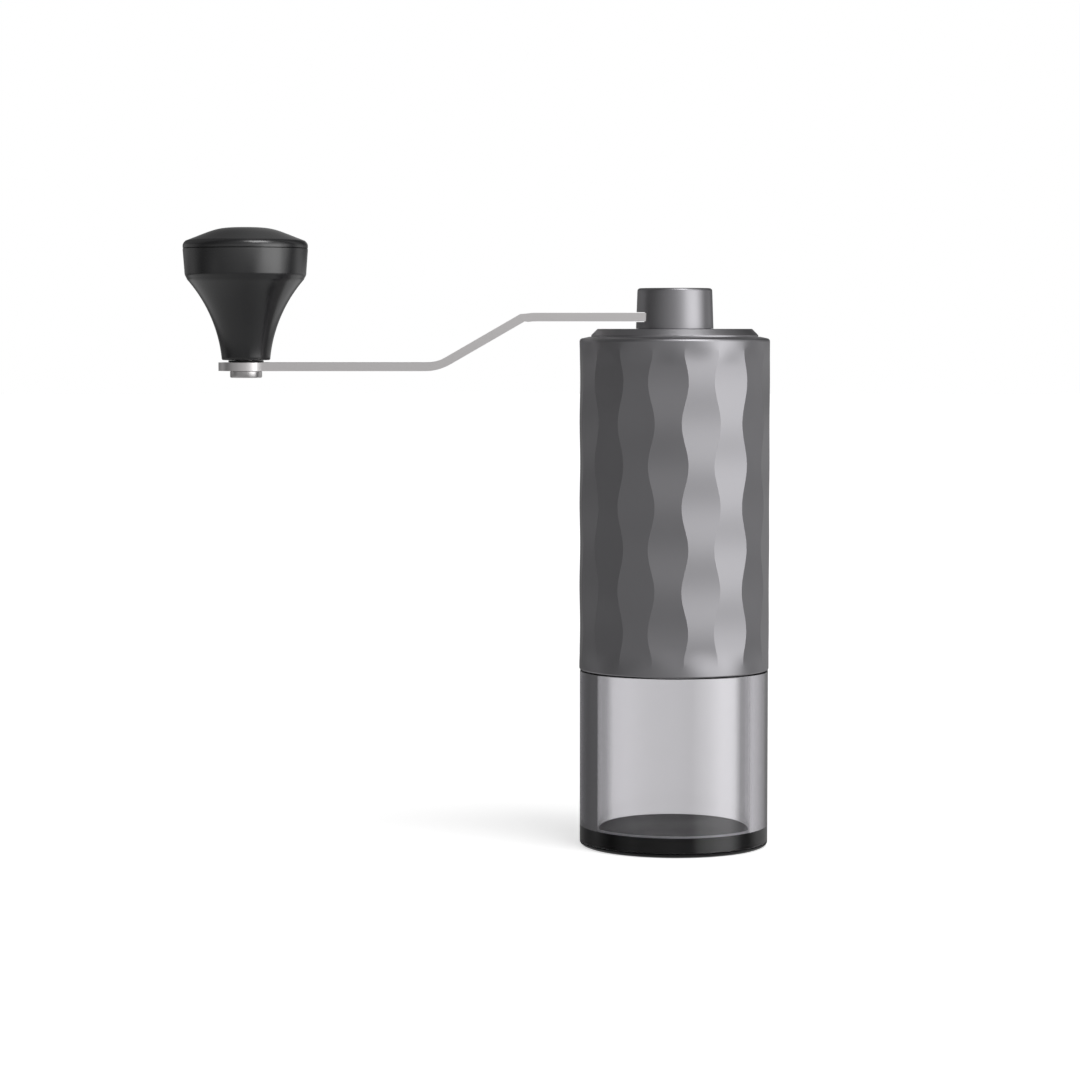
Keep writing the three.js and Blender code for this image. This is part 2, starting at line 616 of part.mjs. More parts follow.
// Threaded ring that holds the outer burr up, with notches for a pin spanner.
function burrRetainer() {
  const inner = RETAINER_R - RETAINER_WALL;
  const body = toSolid(ring(inner, RETAINER_R, RETAINER_Z, RETAINER_HEIGHT, LARGE));
  const notches = Array.from({ length: RETAINER_NOTCHES }, (_, i) => {
    const notch = new THREE.BoxGeometry(2 * NOTCH_LENGTH, NOTCH_WIDTH, 2 * NOTCH_DEPTH);
    notch.translate(inner, 0, RETAINER_Z);
    return toSolid(notch.rotateZ((2 * Math.PI * i) / RETAINER_NOTCHES));
  });
  return toGeometry(cut(body, ...notches));
}

// ------------------------------------------------------- bearings and bracket
// Deep-groove bearing: the outer race carries the shields, so it reaches inward.
function addBearing(name, z) {
  const innerRaceR = SHAFT_R + SEAT / 2;
  const raceR = innerRaceR + RACE_WALL;
  const wallR = BEARING_R - OUTER_RACE_WALL;
  const topZ = z + BEARING_HEIGHT;
  const outer = turned([
    [raceR + RUN, z], [BEARING_R - EDGE, z], [BEARING_R, z + EDGE], [BEARING_R, topZ - EDGE],
    [BEARING_R - EDGE, topZ], [raceR + RUN, topZ], [raceR + RUN, topZ - SHIELD_HEIGHT],
    [wallR, topZ - SHIELD_HEIGHT], [wallR, z + SHIELD_HEIGHT], [raceR + RUN, z + SHIELD_HEIGHT],
  ], MEDIUM);
  add(`${name}_bearing_outer`, outer, BURR_STEEL);
  add(`${name}_bearing_inner`, ring(innerRaceR, raceR, z, BEARING_HEIGHT, MEDIUM), BURR_STEEL);
}

// Ring on which the lid lands, with three arms to the upper bearing.
function upperBracket() {
  const wall = toSolid(turned([
    [BRACKET_BORE_R, BRACKET_Z], [CORE_R, BRACKET_Z], [CORE_R, BRACKET_TOP_Z],
    [BRACKET_BORE_R + EDGE, BRACKET_TOP_Z], [BRACKET_BORE_R, BRACKET_TOP_Z - EDGE],
  ], LARGE));
  const hubTopZ = UPPER_BEARING_Z + BEARING_HEIGHT;
  const hub = toSolid(turned([
    [BEARING_LIP_R, BRACKET_Z], [BEARING_HUB_R, BRACKET_Z], [BEARING_HUB_R, hubTopZ - EDGE],
    [BEARING_HUB_R - EDGE, hubTopZ], [BEARING_SEAT_R, hubTopZ],
    [BEARING_SEAT_R, UPPER_BEARING_Z - SEAT], [BEARING_LIP_R, UPPER_BEARING_Z - SEAT],
  ], MEDIUM));
  const to = BRACKET_BORE_R + SINK;
  const arms = spokes(BEARING_HUB_R - SINK, to, BRACKET_Z, BRACKET_ARM_HEIGHT);
  return toGeometry(join(wall, hub, arms));
}

// --------------------------------------------------------------------- shaft
function driveShaft() {
  const studZ = DIAL_Z - STUD_OVERHANG;
  const collarZ = LOWER_BEARING_Z + BEARING_HEIGHT + SEAT;
  const flatTopZ = INNER_BURR_TOP_Z + BURR_TRAVEL + 2 * RUN;
  const groove = SHAFT_R - CLIP_GROOVE;
  const grooveZ = CIRCLIP_Z - SEAT / 2;
  const grooveTopZ = CIRCLIP_Z + CLIP_HEIGHT + SEAT / 2;
  const stem = toSolid(turned([
    [0, studZ], [STUD_R - EDGE, studZ], [STUD_R, studZ + EDGE], [STUD_R, STUD_TOP_Z],
    [SHAFT_R, STUD_TOP_Z], [SHAFT_R, grooveZ], [groove, grooveZ], [groove, grooveTopZ],
    [SHAFT_R, grooveTopZ], [SHAFT_R, collarZ], [COLLAR_R, collarZ],
    [COLLAR_R, collarZ + COLLAR_HEIGHT], [SHAFT_R, collarZ + COLLAR_HEIGHT],
    [SHAFT_R, HEX_Z], [0, HEX_Z],
  ], MEDIUM));
  const flats = [1, -1].map((side) => {
    const block = new THREE.BoxGeometry(SHAFT_R, 4 * SHAFT_R, flatTopZ - PLATE_Z);
    return toSolid(block.translate(side * (SHAFT_FLAT + SHAFT_R / 2), 0, (flatTopZ + PLATE_Z) / 2));
  });
  const hex = toSolid(raised(hexagon(HEX_FLATS), HEX_Z - SEAT, SHAFT_TOP_Z - HEX_Z + SEAT));
  const noseR = HEX_FLATS / Math.sqrt(3) + SEAT;
  const nose = toSolid(turned([
    [0, HEX_Z - 2 * SINK], [noseR, HEX_Z - 2 * SINK], [noseR, SHAFT_TOP_Z - HEX_LEAD],
    [noseR - HEX_LEAD, SHAFT_TOP_Z], [0, SHAFT_TOP_Z],
  ], MEDIUM));
  return toGeometry(join(cut(stem, ...flats), hex.intersect(nose)));
}

// ---------------------------------------------------------- dial and its clicks
// Plate with radial grooves underneath, keyed to the shaft's flats.
function clickPlate() {
  const inner = CLICK_R - CLICK_LENGTH / 2;
  const outer = CLICK_R + CLICK_LENGTH / 2;
  const outline = [
    [0, PLATE_Z], [inner - EDGE, PLATE_Z], [inner, PLATE_Z], [outer, PLATE_Z],
    [outer + EDGE, PLATE_Z], [PLATE_R, PLATE_Z], [PLATE_R, PLATE_Z + PLATE_HEIGHT],
    [0, PLATE_Z + PLATE_HEIGHT],
  ];
  const columns = 2 * CLICKS;
  const plate = turned(outline, columns);
  const position = plate.attributes.position;
  for (let i = 0; i < position.count; i += 1) {
    const row = i % outline.length;
    const column = Math.floor(i / outline.length) % columns;
    const isGroove = (row === 2 || row === 3) && column % 2 === 0;
    if (isGroove) position.setZ(i, PLATE_Z + CLICK_DEPTH);
  }
  const bore = raised(doubleFlat(SHAFT_R + SEAT, SHAFT_FLAT + SEAT), PLATE_Z - PAST,
    PLATE_HEIGHT + 2 * PAST);
  return toGeometry(cut(toSolid(plate), toSolid(bore)));
}

// Knurled nut that sets the burrs, with a pocket for each ball and its spring.
const pocketR = BALL_R + SEAT;
const pocketZ = DIAL_Z + POCKET_FLOOR;
const ballZ = PLATE_Z - SEAT - BALL_R;
const ballAngle = (i) => (2 * Math.PI * i) / BALLS;

function adjustingDial() {
  const facets = 3 * DIAL_FLUTES;
  const topZ = DIAL_Z + DIAL_HEIGHT;
  const outline = [
    [0, DIAL_Z], [DIAL_R - DIAL_CHAMFER, DIAL_Z], [DIAL_R, DIAL_Z + DIAL_CHAMFER],
    [DIAL_R, topZ - EDGE], [DIAL_R - EDGE, topZ], [0, topZ],
  ];
  const grip = carved(outline, facets, (column, r) => {
    const isFlute = r > DIAL_R - DIAL_CHAMFER + TOUCH && column % 3 === 0;
    return [isFlute ? r - DIAL_FLUTE_DEPTH : r, (2 * Math.PI * column) / facets];
  });
  const stud = disc(STUD_R + RUN, DIAL_Z - PAST, DIAL_HEIGHT + 2 * PAST, SMALL);
  const recessZ = DIAL_Z + DIAL_RECESS_DEPTH;
  const recess = turned([
    [0, DIAL_Z - PAST], [DIAL_RECESS_R, DIAL_Z - PAST], [DIAL_RECESS_R, DIAL_Z],
    [DIAL_RECESS_R - DIAL_RECESS_DEPTH, recessZ], [0, recessZ],
  ], MEDIUM);
  const pockets = Array.from({ length: BALLS }, (_, i) => {
    const pocket = disc(pocketR, pocketZ, DIAL_HEIGHT, SMALL).translate(CLICK_R, 0, 0);
    return toSolid(pocket.rotateZ(ballAngle(i)));
  });
  return toGeometry(cut(toSolid(grip), toSolid(stud), toSolid(recess), ...pockets));
}

function addDetents() {
  const low = pocketZ + SEAT;
  const height = ballZ - BALL_R - SEAT - low;
  for (let i = 0; i < BALLS; i += 1) {
    const [x, y] = [CLICK_R * Math.cos(ballAngle(i)), CLICK_R * Math.sin(ballAngle(i))];
    const ball = new THREE.SphereGeometry(BALL_R, 8, 6);
    add(`detent_ball_${i + 1}`, ball, BURR_STEEL, [x, y, ballZ]);
    const coil = spring(BALL_R - DETENT_WIRE, DETENT_WIRE, DETENT_TURNS, low, height, 4, 6);
    add(`detent_spring_${i + 1}`, coil, SPRING_STEEL, [x, y, 0]);
  }
}

// ----------------------------------------------------------------------- lid
// Plate with a chamfered edge and a low ring that runs in the hub's groove.
function lidPlate() {
  const ringTopZ = LID_TOP_Z + DUST_RING_HEIGHT;
  return turned([
    [BUSH_R + SEAT, LID_Z], [LID_R, LID_Z], [LID_R, LID_TOP_Z - LID_CHAMFER],
    [LID_R - LID_CHAMFER, LID_TOP_Z], [DUST_RING_R, LID_TOP_Z], [DUST_RING_R, ringTopZ],
    [DUST_RING_R - DUST_RING_WIDTH, ringTopZ], [DUST_RING_R - DUST_RING_WIDTH, LID_TOP_Z],
    [BUSH_R + SEAT, LID_TOP_Z],
  ], LARGE);
}

const linerZ = LID_Z - SEAT - LINER_HEIGHT;
const oringZ = linerZ + LINER_HEIGHT / 2;
const oringR = BRACKET_BORE_R - SEAT - ORING_R;

// Ring under the lid plate that centres it in the bracket and holds the O-ring.
function lidLiner() {
  const grooveR = oringR - ORING_R - SEAT;
  const groove = ORING_R + SEAT;
  const topZ = linerZ + LINER_HEIGHT;
  return turned([
    [LINER_BORE_R, linerZ], [LINER_R - EDGE, linerZ], [LINER_R, linerZ + EDGE],
    [LINER_R, oringZ - groove], [grooveR, oringZ - groove], [grooveR, oringZ + groove],
    [LINER_R, oringZ + groove], [LINER_R, topZ], [LINER_BORE_R, topZ],
  ], LARGE);
}

function lidOring() {
  const section = Array.from({ length: ORING_SIDES }, (_, i) => {
    const angle = (2 * Math.PI * i) / ORING_SIDES;
    return [oringR + ORING_R * Math.cos(angle), oringZ + ORING_R * Math.sin(angle)];
  });
  return turned(section, LARGE);
}

// Plain bush, flanged underneath, in which the crank's socket turns.
function lidBush() {
  const flangeTopZ = BUSH_Z + BUSH_FLANGE_HEIGHT;
  return turned([
    [BUSH_BORE_R, BUSH_Z], [BUSH_R + BUSH_FLANGE, BUSH_Z],
    [BUSH_R + BUSH_FLANGE, flangeTopZ], [BUSH_R, flangeTopZ], [BUSH_R, LID_TOP_Z],
    [BUSH_BORE_R, LID_TOP_Z],
  ], MEDIUM);
}

// --------------------------------------------------------------------- crank
// Turned cap with a slot for the arm, a blind bore for the socket's spigot and a
// groove for the lid's ring.
function crankHub() {
  const corner = HUB_CORNER;
  const body = toSolid(turned([
    [0, HUB_Z], [HUB_R, HUB_Z], [HUB_TOP_R, HUB_TOP_Z - corner],
    [HUB_TOP_R - 0.3 * corner, HUB_TOP_Z - 0.3 * corner],
    [HUB_TOP_R - corner, HUB_TOP_Z], [0, HUB_TOP_Z],
  ], LARGE));
  const slotR = CRANK_WIDTH / 2 + SEAT;
  const slot = new THREE.Shape();
  slot.moveTo(-2 * HUB_R, -slotR);
  slot.lineTo(0, -slotR);
  slot.absarc(0, 0, slotR, -Math.PI / 2, Math.PI / 2, false);
  slot.lineTo(-2 * HUB_R, slotR);
  const pocket = raised(slot, CRANK_Z - SEAT, CRANK_THICKNESS + 2 * SEAT);
  const below = HUB_Z - PAST;
  const bore = disc(SPIGOT_R + SEAT, below, SPIGOT_TOP_Z + SEAT - below, MEDIUM);
  const socket = disc(SOCKET_R + SEAT, below, CRANK_Z - below, MEDIUM);
  const grooveTopZ = LID_TOP_Z + DUST_RING_HEIGHT + SEAT;
  const groove = ring(
    DUST_RING_R - DUST_RING_WIDTH - SEAT, DUST_RING_R + SEAT, below, grooveTopZ - below, LARGE);
  return toGeometry(
    cut(body, toSolid(pocket), toSolid(bore), toSolid(socket), toSolid(groove)));
}

// Steel sleeve with a hexagon bore that drops over the shaft's end.
function driveSocket() {
  const grooveR = SOCKET_R - CLIP_GROOVE;
  const grooveZ = CLIP_Z - SEAT / 2;
  const grooveTopZ = CLIP_Z + CLIP_HEIGHT + SEAT / 2;
  const body = toSolid(turned([
    [0, SOCKET_Z], [SOCKET_R, SOCKET_Z], [SOCKET_R, grooveZ], [grooveR, grooveZ],
    [grooveR, grooveTopZ], [SOCKET_R, grooveTopZ], [SOCKET_R, SOCKET_SHOULDER_Z],
    [SPIGOT_R, SOCKET_SHOULDER_Z], [SPIGOT_R, SPIGOT_TOP_Z], [0, SPIGOT_TOP_Z],
  ], MEDIUM));
  const below = SOCKET_Z - PAST;
  const bore = raised(hexagon(HEX_FLATS + 2 * SEAT), below, SHAFT_TOP_Z + RUN - below);
  return toGeometry(cut(body, toSolid(bore)));
}

// Middle line of the bent arm as points with their direction, from the hub out.
function crankLine() {
  const slope = THREE.MathUtils.degToRad(CRANK_SLOPE);
  const run = CRANK_DROP / Math.tan(slope);
  const tangent = CRANK_BEND_R * Math.tan(slope / 2);
  const high = CRANK_Z + CRANK_THICKNESS / 2;
  const low = high - CRANK_DROP;
  const lowBendX = CRANK_BEND_X + run;
  const steps = BEND_STEPS;
  const line = [{ x: CRANK_WIDTH, z: high, turn: 0 }];
  for (let i = 0; i <= steps; i += 1) {
    const turn = (slope * i) / steps;
    const x = CRANK_BEND_X - tangent + CRANK_BEND_R * Math.sin(turn);
    line.push({ x: -x, z: high - CRANK_BEND_R * (1 - Math.cos(turn)), turn });
  }
  for (let i = steps; i >= 0; i -= 1) {
    const turn = (slope * i) / steps;
    const x = lowBendX + tangent - CRANK_BEND_R * Math.sin(turn);
    line.push({ x: -x, z: low + CRANK_BEND_R * (1 - Math.cos(turn)), turn });
  }
  line.push({ x: -CRANK_REACH - 2 * EYE_R, z: low, turn: 0 });
  return line;
}

// Flat bar bent twice: its side outline meets its plan outline.
function crankArm() {
  const half = CRANK_THICKNESS / 2;
  const side = (sign) => crankLine().map(({ x, z, turn }) => V(
    x - sign * half * Math.sin(turn), z + sign * half * Math.cos(turn)));
  const profile = new THREE.Shape([...side(1), ...side(-1).reverse()]);
  const depth = 4 * EYE_R;
  const bar = new THREE.ExtrudeGeometry(profile, { depth, bevelEnabled: false });
  bar.rotateX(Math.PI / 2).translate(0, depth / 2, 0);

  const eyeStart = Math.asin(CRANK_WIDTH / 2 / EYE_R);
  const plan = new THREE.Shape();
  plan.absarc(0, 0, CRANK_WIDTH / 2, -Math.PI / 2, Math.PI / 2, false);
  plan.absarc(-CRANK_REACH, 0, EYE_R, eyeStart, 2 * Math.PI - eyeStart, false);
  const blankHeight = CRANK_DROP + 6 * CRANK_THICKNESS;
  const blank = raised(plan, CRANK_LOW_Z - 2 * CRANK_THICKNESS, blankHeight, 12);
  const through = CRANK_THICKNESS + 2 * PAST;
  const hubHole = disc(SPIGOT_R + SEAT / 2, CRANK_Z - PAST, through, MEDIUM);
  const pinHole = disc(PIN_R + SEAT / 2, CRANK_LOW_Z - PAST, through, MEDIUM);
  pinHole.translate(-CRANK_REACH, 0, 0);
  const arm = toSolid(bar).intersect(toSolid(blank));
  return toGeometry(cut(arm, toSolid(hubHole), toSolid(pinHole)));
}

// ---------------------------------------------------------------------- knob
// Everything on the knob's axis is drawn about Z and moved out to the eye.
const knobPlace = [-CRANK_REACH, 0, 0];

function knobPin() {
  const headZ = CRANK_LOW_Z - SEAT / 2 - PIN_HEAD_HEIGHT;
  const endZ = NUT_Z + PIN_NUT_HEIGHT + PIN_END;
  const stem = toSolid(turned([
    [0, headZ], [PIN_HEAD_R - EDGE, headZ], [PIN_HEAD_R, headZ + EDGE],
    [PIN_HEAD_R, headZ + PIN_HEAD_HEIGHT], [PIN_R, headZ + PIN_HEAD_HEIGHT],
    [PIN_R, endZ - EDGE], [PIN_R - EDGE, endZ], [0, endZ],
  ], MEDIUM));
  const key = raised(hexagon(PIN_KEY_FLATS), headZ - PAST, PAST + PIN_KEY_DEPTH);
  return toGeometry(cut(stem, toSolid(key)));
}

function pinNut() {
  const nut = toSolid(raised(hexagon(PIN_NUT_FLATS), NUT_Z, PIN_NUT_HEIGHT));
  const hole = disc(PIN_R + SEAT / 2, NUT_Z - PAST, PIN_NUT_HEIGHT + 2 * PAST, MEDIUM);
  return toGeometry(cut(nut, toSolid(hole)));
}

// Outside of the grip: a foot that flares into a wide collar.
function knobOutline() {
  const at = ([across, up]) => V(across * KNOB_R, KNOB_Z + up * KNOB_HEIGHT);
  const foot = V(KNOB_FOOT_R, KNOB_Z + EDGE);
  const turn = at(GRIP_TURN);
  const shoulder = at(GRIP_SHOULDER);
  const below = V(shoulder.x, THREE.MathUtils.lerp(shoulder.y, turn.y, 0.4));
  const flare = new THREE.CubicBezierCurve(foot, at(GRIP_WAIST), at(GRIP_FLARE), turn);
  const corner = new THREE.CubicBezierCurve(turn, at(GRIP_CORNER), below, shoulder);
  return [V(KNOB_FOOT_R - EDGE, KNOB_Z), ...flare.getPoints(5), ...corner.getPoints(3).slice(1)];
}

function knobBody() {
  const topZ = KNOB_SEAM_Z - SEAT / 2;
  const recessR = KNOB_R - KNOB_WALL;
  const recessZ = topZ - KNOB_SPIGOT - SEAT;
  const boreR = KNOB_BUSH_R + SEAT;
  return turned([
    V(boreR, KNOB_Z), ...knobOutline(), V(KNOB_R, topZ - EDGE), V(KNOB_R - EDGE, topZ),
    V(recessR, topZ), V(recessR, recessZ), V(NUT_ROOM_R, recessZ),
    V(NUT_ROOM_R, KNOB_BUSH_TOP_Z + SEAT), V(boreR, KNOB_BUSH_TOP_Z + SEAT),
  ], LARGE);
}

// Low dome with a rounded rim; a hollow spigot underneath snaps into the grip.
function knobCap() {
  const lowZ = KNOB_SEAM_Z + SEAT / 2;
  const spigotR = KNOB_R - KNOB_WALL - SEAT;
  const rimZ = lowZ + KNOB_RIM_HEIGHT;
  const rimR = KNOB_R - KNOB_RIM_WIDTH;
  const side = V(KNOB_R, THREE.MathUtils.lerp(lowZ, rimZ, 0.3));
  const [nearRim, nearTop] = DOME_SHARES.map((share) => share * KNOB_R);
  const rim = new THREE.CubicBezierCurve(
    side, V(KNOB_R, THREE.MathUtils.lerp(lowZ, rimZ, 0.57)),
    V(KNOB_R - 0.45 * KNOB_RIM_WIDTH, THREE.MathUtils.lerp(lowZ, rimZ, 0.82)), V(rimR, rimZ));
  const dome = new THREE.CubicBezierCurve(
    V(rimR, rimZ), V(nearRim, KNOB_TOP_Z - KNOB_DOME_FALL), V(nearTop, KNOB_TOP_Z),
    V(0, KNOB_TOP_Z));
  const roomR = NUT_ROOM_R + SEAT;
  const roomZ = KNOB_SEAM_Z + NUT_ROOM_TOP;
  return turned([
    V(0, roomZ), V(roomR, roomZ), V(roomR, lowZ - KNOB_SPIGOT),
    V(spigotR, lowZ - KNOB_SPIGOT), V(spigotR, lowZ), V(KNOB_R - EDGE, lowZ),
    ...rim.getPoints(3), ...dome.getPoints(4).slice(1),
  ], LARGE);
}

// ------------------------------------------------------------------- assembly
add('catch_cup', catchCup(), SMOKED_CLEAR);
add('cup_base', cupBase(), BLACK_RUBBER);
add('cup_seal', ring(NECK_R - SEAL_WIDTH, NECK_R, SEAL_Z, SEAL_HEIGHT, LARGE), BLACK_RUBBER);

add('body_sleeve', bodySleeve(), GUNMETAL);
add('inner_core', innerCore(), BLACK_PLASTIC);
add('outer_burr', outerBurr(), BURR_STEEL);
add('burr_retainer', burrRetainer(), SATIN_STEEL);
addBearing('lower', LOWER_BEARING_Z);
add('upper_bracket', upperBracket(), BLACK_PLASTIC);
addBearing('upper', UPPER_BEARING_Z);

add('drive_shaft', driveShaft(), SATIN_STEEL);
add('shaft_circlip', clip(SHAFT_R - CLIP_GROOVE + SEAT / 2, COLLAR_R, CIRCLIP_Z, CLIP_HEIGHT),
  SPRING_STEEL);
add('spring_washer', ring(SHAFT_R + SEAT, SPRING_R + SPRING_WIRE, SPRING_WASHER_Z,
  SPRING_WASHER_HEIGHT), SATIN_STEEL);
add('burr_spring', spring(SPRING_R, SPRING_WIRE, SPRING_TURNS, INNER_BURR_TOP_Z + SEAT,
  SPRING_WASHER_Z - INNER_BURR_TOP_Z - 2 * SEAT), SPRING_STEEL);
add('inner_burr', innerBurr(), BURR_STEEL);
add('click_plate', clickPlate(), SATIN_STEEL);
add('adjusting_dial', adjustingDial(), BLACK_ANODISED);
addDetents();

add('lid_plate', lidPlate(), GUNMETAL);
add('lid_liner', lidLiner(), BLACK_PLASTIC);
add('lid_oring', lidOring(), BLACK_RUBBER);
add('lid_bush', lidBush(), ACETAL);

add('crank_hub', crankHub(), GUNMETAL);
add('drive_socket', driveSocket(), SATIN_STEEL);
add('socket_clip', clip(SOCKET_R - CLIP_GROOVE + SEAT / 2, BUSH_R, CLIP_Z, CLIP_HEIGHT),
  SPRING_STEEL);
add('crank_arm', crankArm(), SATIN_STEEL);

add('knob_pin', knobPin(), SATIN_STEEL, knobPlace);
add('knob_washer', ring(PIN_R + SEAT, WASHER_R, WASHER_Z, WASHER_HEIGHT), BLACK_RUBBER, knobPlace);
add('pin_nut', pinNut(), SATIN_STEEL, knobPlace);
add('knob_bush', ring(KNOB_BORE_R, KNOB_BUSH_R, KNOB_Z, KNOB_BUSH_TOP_Z - KNOB_Z), BRONZE,
  knobPlace);
add('knob_body', knobBody(), BLACK_PLASTIC, knobPlace);
add('knob_cap', knobCap(), BLACK_PLASTIC, knobPlace);

export default part;
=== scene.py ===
"""A hand crank coffee grinder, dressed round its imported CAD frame.

The file follows the grinder as it is put together, from the base up: the catch cup,
the body and what it holds, the shaft and the burrs, the lid, the crank and the knob.
The studio comes last.
"""
import math

import bmesh
import bpy
from mathutils import Matrix, Vector
from mathutils.geometry import interpolate_bezier


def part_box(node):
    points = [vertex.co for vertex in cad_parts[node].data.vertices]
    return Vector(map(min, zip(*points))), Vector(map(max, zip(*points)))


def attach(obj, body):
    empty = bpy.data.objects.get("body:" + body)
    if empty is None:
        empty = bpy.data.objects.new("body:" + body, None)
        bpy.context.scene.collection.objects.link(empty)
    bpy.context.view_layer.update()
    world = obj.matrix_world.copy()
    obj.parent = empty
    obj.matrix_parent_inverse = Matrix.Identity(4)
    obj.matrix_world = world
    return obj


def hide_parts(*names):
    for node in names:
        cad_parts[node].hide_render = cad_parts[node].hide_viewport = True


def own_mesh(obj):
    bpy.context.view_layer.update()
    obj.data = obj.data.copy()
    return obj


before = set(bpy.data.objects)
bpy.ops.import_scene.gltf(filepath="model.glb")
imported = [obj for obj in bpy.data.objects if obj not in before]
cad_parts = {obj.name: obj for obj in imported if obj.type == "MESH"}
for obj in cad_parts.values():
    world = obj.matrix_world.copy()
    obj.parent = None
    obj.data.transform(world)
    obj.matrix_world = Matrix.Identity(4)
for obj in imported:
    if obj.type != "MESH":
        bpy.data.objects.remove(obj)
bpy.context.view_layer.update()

# ---------------------------------------------------------------------------
# Cup base. Black rubber, moulded in one piece: a plug whose top is the floor of the
# cup, and a thin rim under the tube's end with a rounded foot. A pale ring round the
# plug's top is a painted reflection: the bright line of light along the cup floor's edge.
# ---------------------------------------------------------------------------
MM = 0.001
weld = 0.0001 * MM
crease = math.radians(28)


def finish_mesh(name, bm, body, material, edge=0.0):
    """Turns a bmesh into a piece at the origin that rides on its body. An edge is the width
    of the bevel."""
    bmesh.ops.remove_doubles(bm, verts=bm.verts, dist=weld)
    bmesh.ops.recalc_face_normals(bm, faces=bm.faces)
    mesh = bpy.data.meshes.new(name)
    bm.to_mesh(mesh)
    bm.free()
    mesh.shade_smooth()
    mesh.set_sharp_from_angle(angle=crease)
    piece = bpy.data.objects.new(name, mesh)
    bpy.context.scene.collection.objects.link(piece)
    if edge:
        soften = piece.modifiers.new("edge", "BEVEL")
        soften.width = edge
        soften.segments = 3
        soften.limit_method = "ANGLE"
        soften.angle_limit = crease
        soften.harden_normals = True
    mesh.materials.append(material)
    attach(piece, body)
    return piece


def turned(outline, steps=128, x=0.0):
    """Spins an outline of (radius, height) points, in metres, about the axis at x.
    An outline that starts off the axis is a ring, and is closed."""
    bm = bmesh.new()
    verts = [bm.verts.new((x + r, 0.0, z)) for r, z in outline]
    pairs = list(zip(verts, verts[1:]))
    if outline[0][0] > 0:
        pairs.append((verts[-1], verts[0]))
    edges = [bm.edges.new(pair) for pair in pairs]
    bmesh.ops.spin(
        bm, geom=verts + edges, cent=(x, 0.0, 0.0), axis=(0.0, 0.0, 1.0),
        angle=2 * math.pi, steps=steps, use_merge=True,
    )
    bmesh.ops.remove_doubles(bm, verts=bm.verts, dist=weld)
    return bm


def shader(name, **sockets):
    """A new material with one Principled shader, set from its socket names."""
    material = bpy.data.materials.new(name)
    material.use_nodes = True
    principled = material.node_tree.nodes["Principled BSDF"]
    for socket, value in sockets.items():
        principled.inputs[socket.replace("_", " ")].default_value = value
    return material, material.node_tree, principled


def node(tree, kind, *values, operation=None, result=0, **named):
    """Adds a shader node and gives back one of its outputs. Its inputs, in order or by
    name, are plain values or other nodes' outputs."""
    new = tree.nodes.new("ShaderNode" + kind)
    if operation:
        new.operation = operation
    for key, value in [*enumerate(values), *named.items()]:
        if isinstance(value, bpy.types.NodeSocket):
            tree.links.new(value, new.inputs[key])
        else:
            new.inputs[key].default_value = value
    return new.outputs[result]


def ramp(tree, factor, stops):
    """A colour ramp with stops of (position, colour), where a number is a grey."""
    new = tree.nodes.new("ShaderNodeValToRGB")
    elements = new.color_ramp.elements
    while len(elements) < len(stops):
        elements.new(0.5)
    for element, (position, colour) in zip(elements, stops):
        element.position = position
        element.color = (*((colour,) * 3 if isinstance(colour, float) else colour), 1)
    tree.links.new(factor, new.inputs["Fac"])
    return new.outputs["Color"]


def mottle(tree, principled, rough, colours, scale, bump=0.0, stretch=(1, 1, 1)):
    """Cloudy variation of roughness and colour, and a fine grain, in object space."""
    place = node(tree, "Mapping", node(tree, "TexCoord", result="Object"), Scale=stretch)
    cloud = node(tree, "TexNoise", place, Scale=scale, Detail=4, result="Fac")
    for socket, (low, high) in (("Roughness", rough), ("Base Color", colours)):
        tree.links.new(ramp(tree, cloud, ((0.3, low), (0.7, high))), principled.inputs[socket])
    if bump:
        grain_scale, grain_depth = 3200, 0.02 * MM
        grain = node(tree, "TexNoise", place, Scale=grain_scale, Detail=2, result="Fac")
        relief = node(tree, "Bump", Strength=bump, Distance=grain_depth, Height=grain)
        tree.links.new(relief, principled.inputs["Normal"])


black_rubber, tree, principled = shader("black_rubber", Specular_IOR_Level=0.3)
mottle(tree, principled, (0.44, 0.54), ((0.006, 0.006, 0.007), (0.010, 0.010, 0.011)), 60)

cup_low, cup_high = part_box("catch_cup")
cup_r = cup_high.x
bore_r = 21.0 * MM
floor_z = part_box("cup_base")[1].z + 0.3 * MM
plug_r = bore_r + 0.05 * MM
rim_z = cup_low.z - 0.2 * MM
foot = [
    (cup_r - a, z) for a, z in (
        (1.80 * MM, 0.0), (1.05 * MM, 0.08 * MM), (0.54 * MM, 0.28 * MM),
        (0.20 * MM, 0.58 * MM), (0.04 * MM, 0.88 * MM),
    )
]
rebate = 0.5 * MM
cup_base = finish_mesh("cup_base_plug", turned([
    (0.0, 0.0), (cup_r - 2.6 * MM, 0.0), *foot, (cup_r, rim_z), (plug_r, rim_z),
    (plug_r, floor_z - rebate), (plug_r - rebate, floor_z - rebate),
    (plug_r - rebate, floor_z), (0.0, floor_z),
]), "cup", black_rubber)
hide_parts("cup_base")

# Painted reflection: a pale ring that puts the bright crescent of reflected light along the edge
# of the cup's floor.
painted_reflection, tree, principled = shader("painted_reflection", Specular_IOR_Level=0.4)
mottle(tree, principled, (0.30, 0.40), ((0.80, 0.79, 0.82), (0.86, 0.85, 0.88)), 120)
reflection_ring_in, reflection_ring_out = plug_r - 0.48 * MM, bore_r - 0.04 * MM
finish_mesh("cup_painted_reflection", turned([
    (reflection_ring_in, floor_z - 0.48 * MM), (reflection_ring_out, floor_z - 0.48 * MM),
    (reflection_ring_out, floor_z - 0.02 * MM), (reflection_ring_in, floor_z + 0.02 * MM),
], steps=160), "cup", painted_reflection)

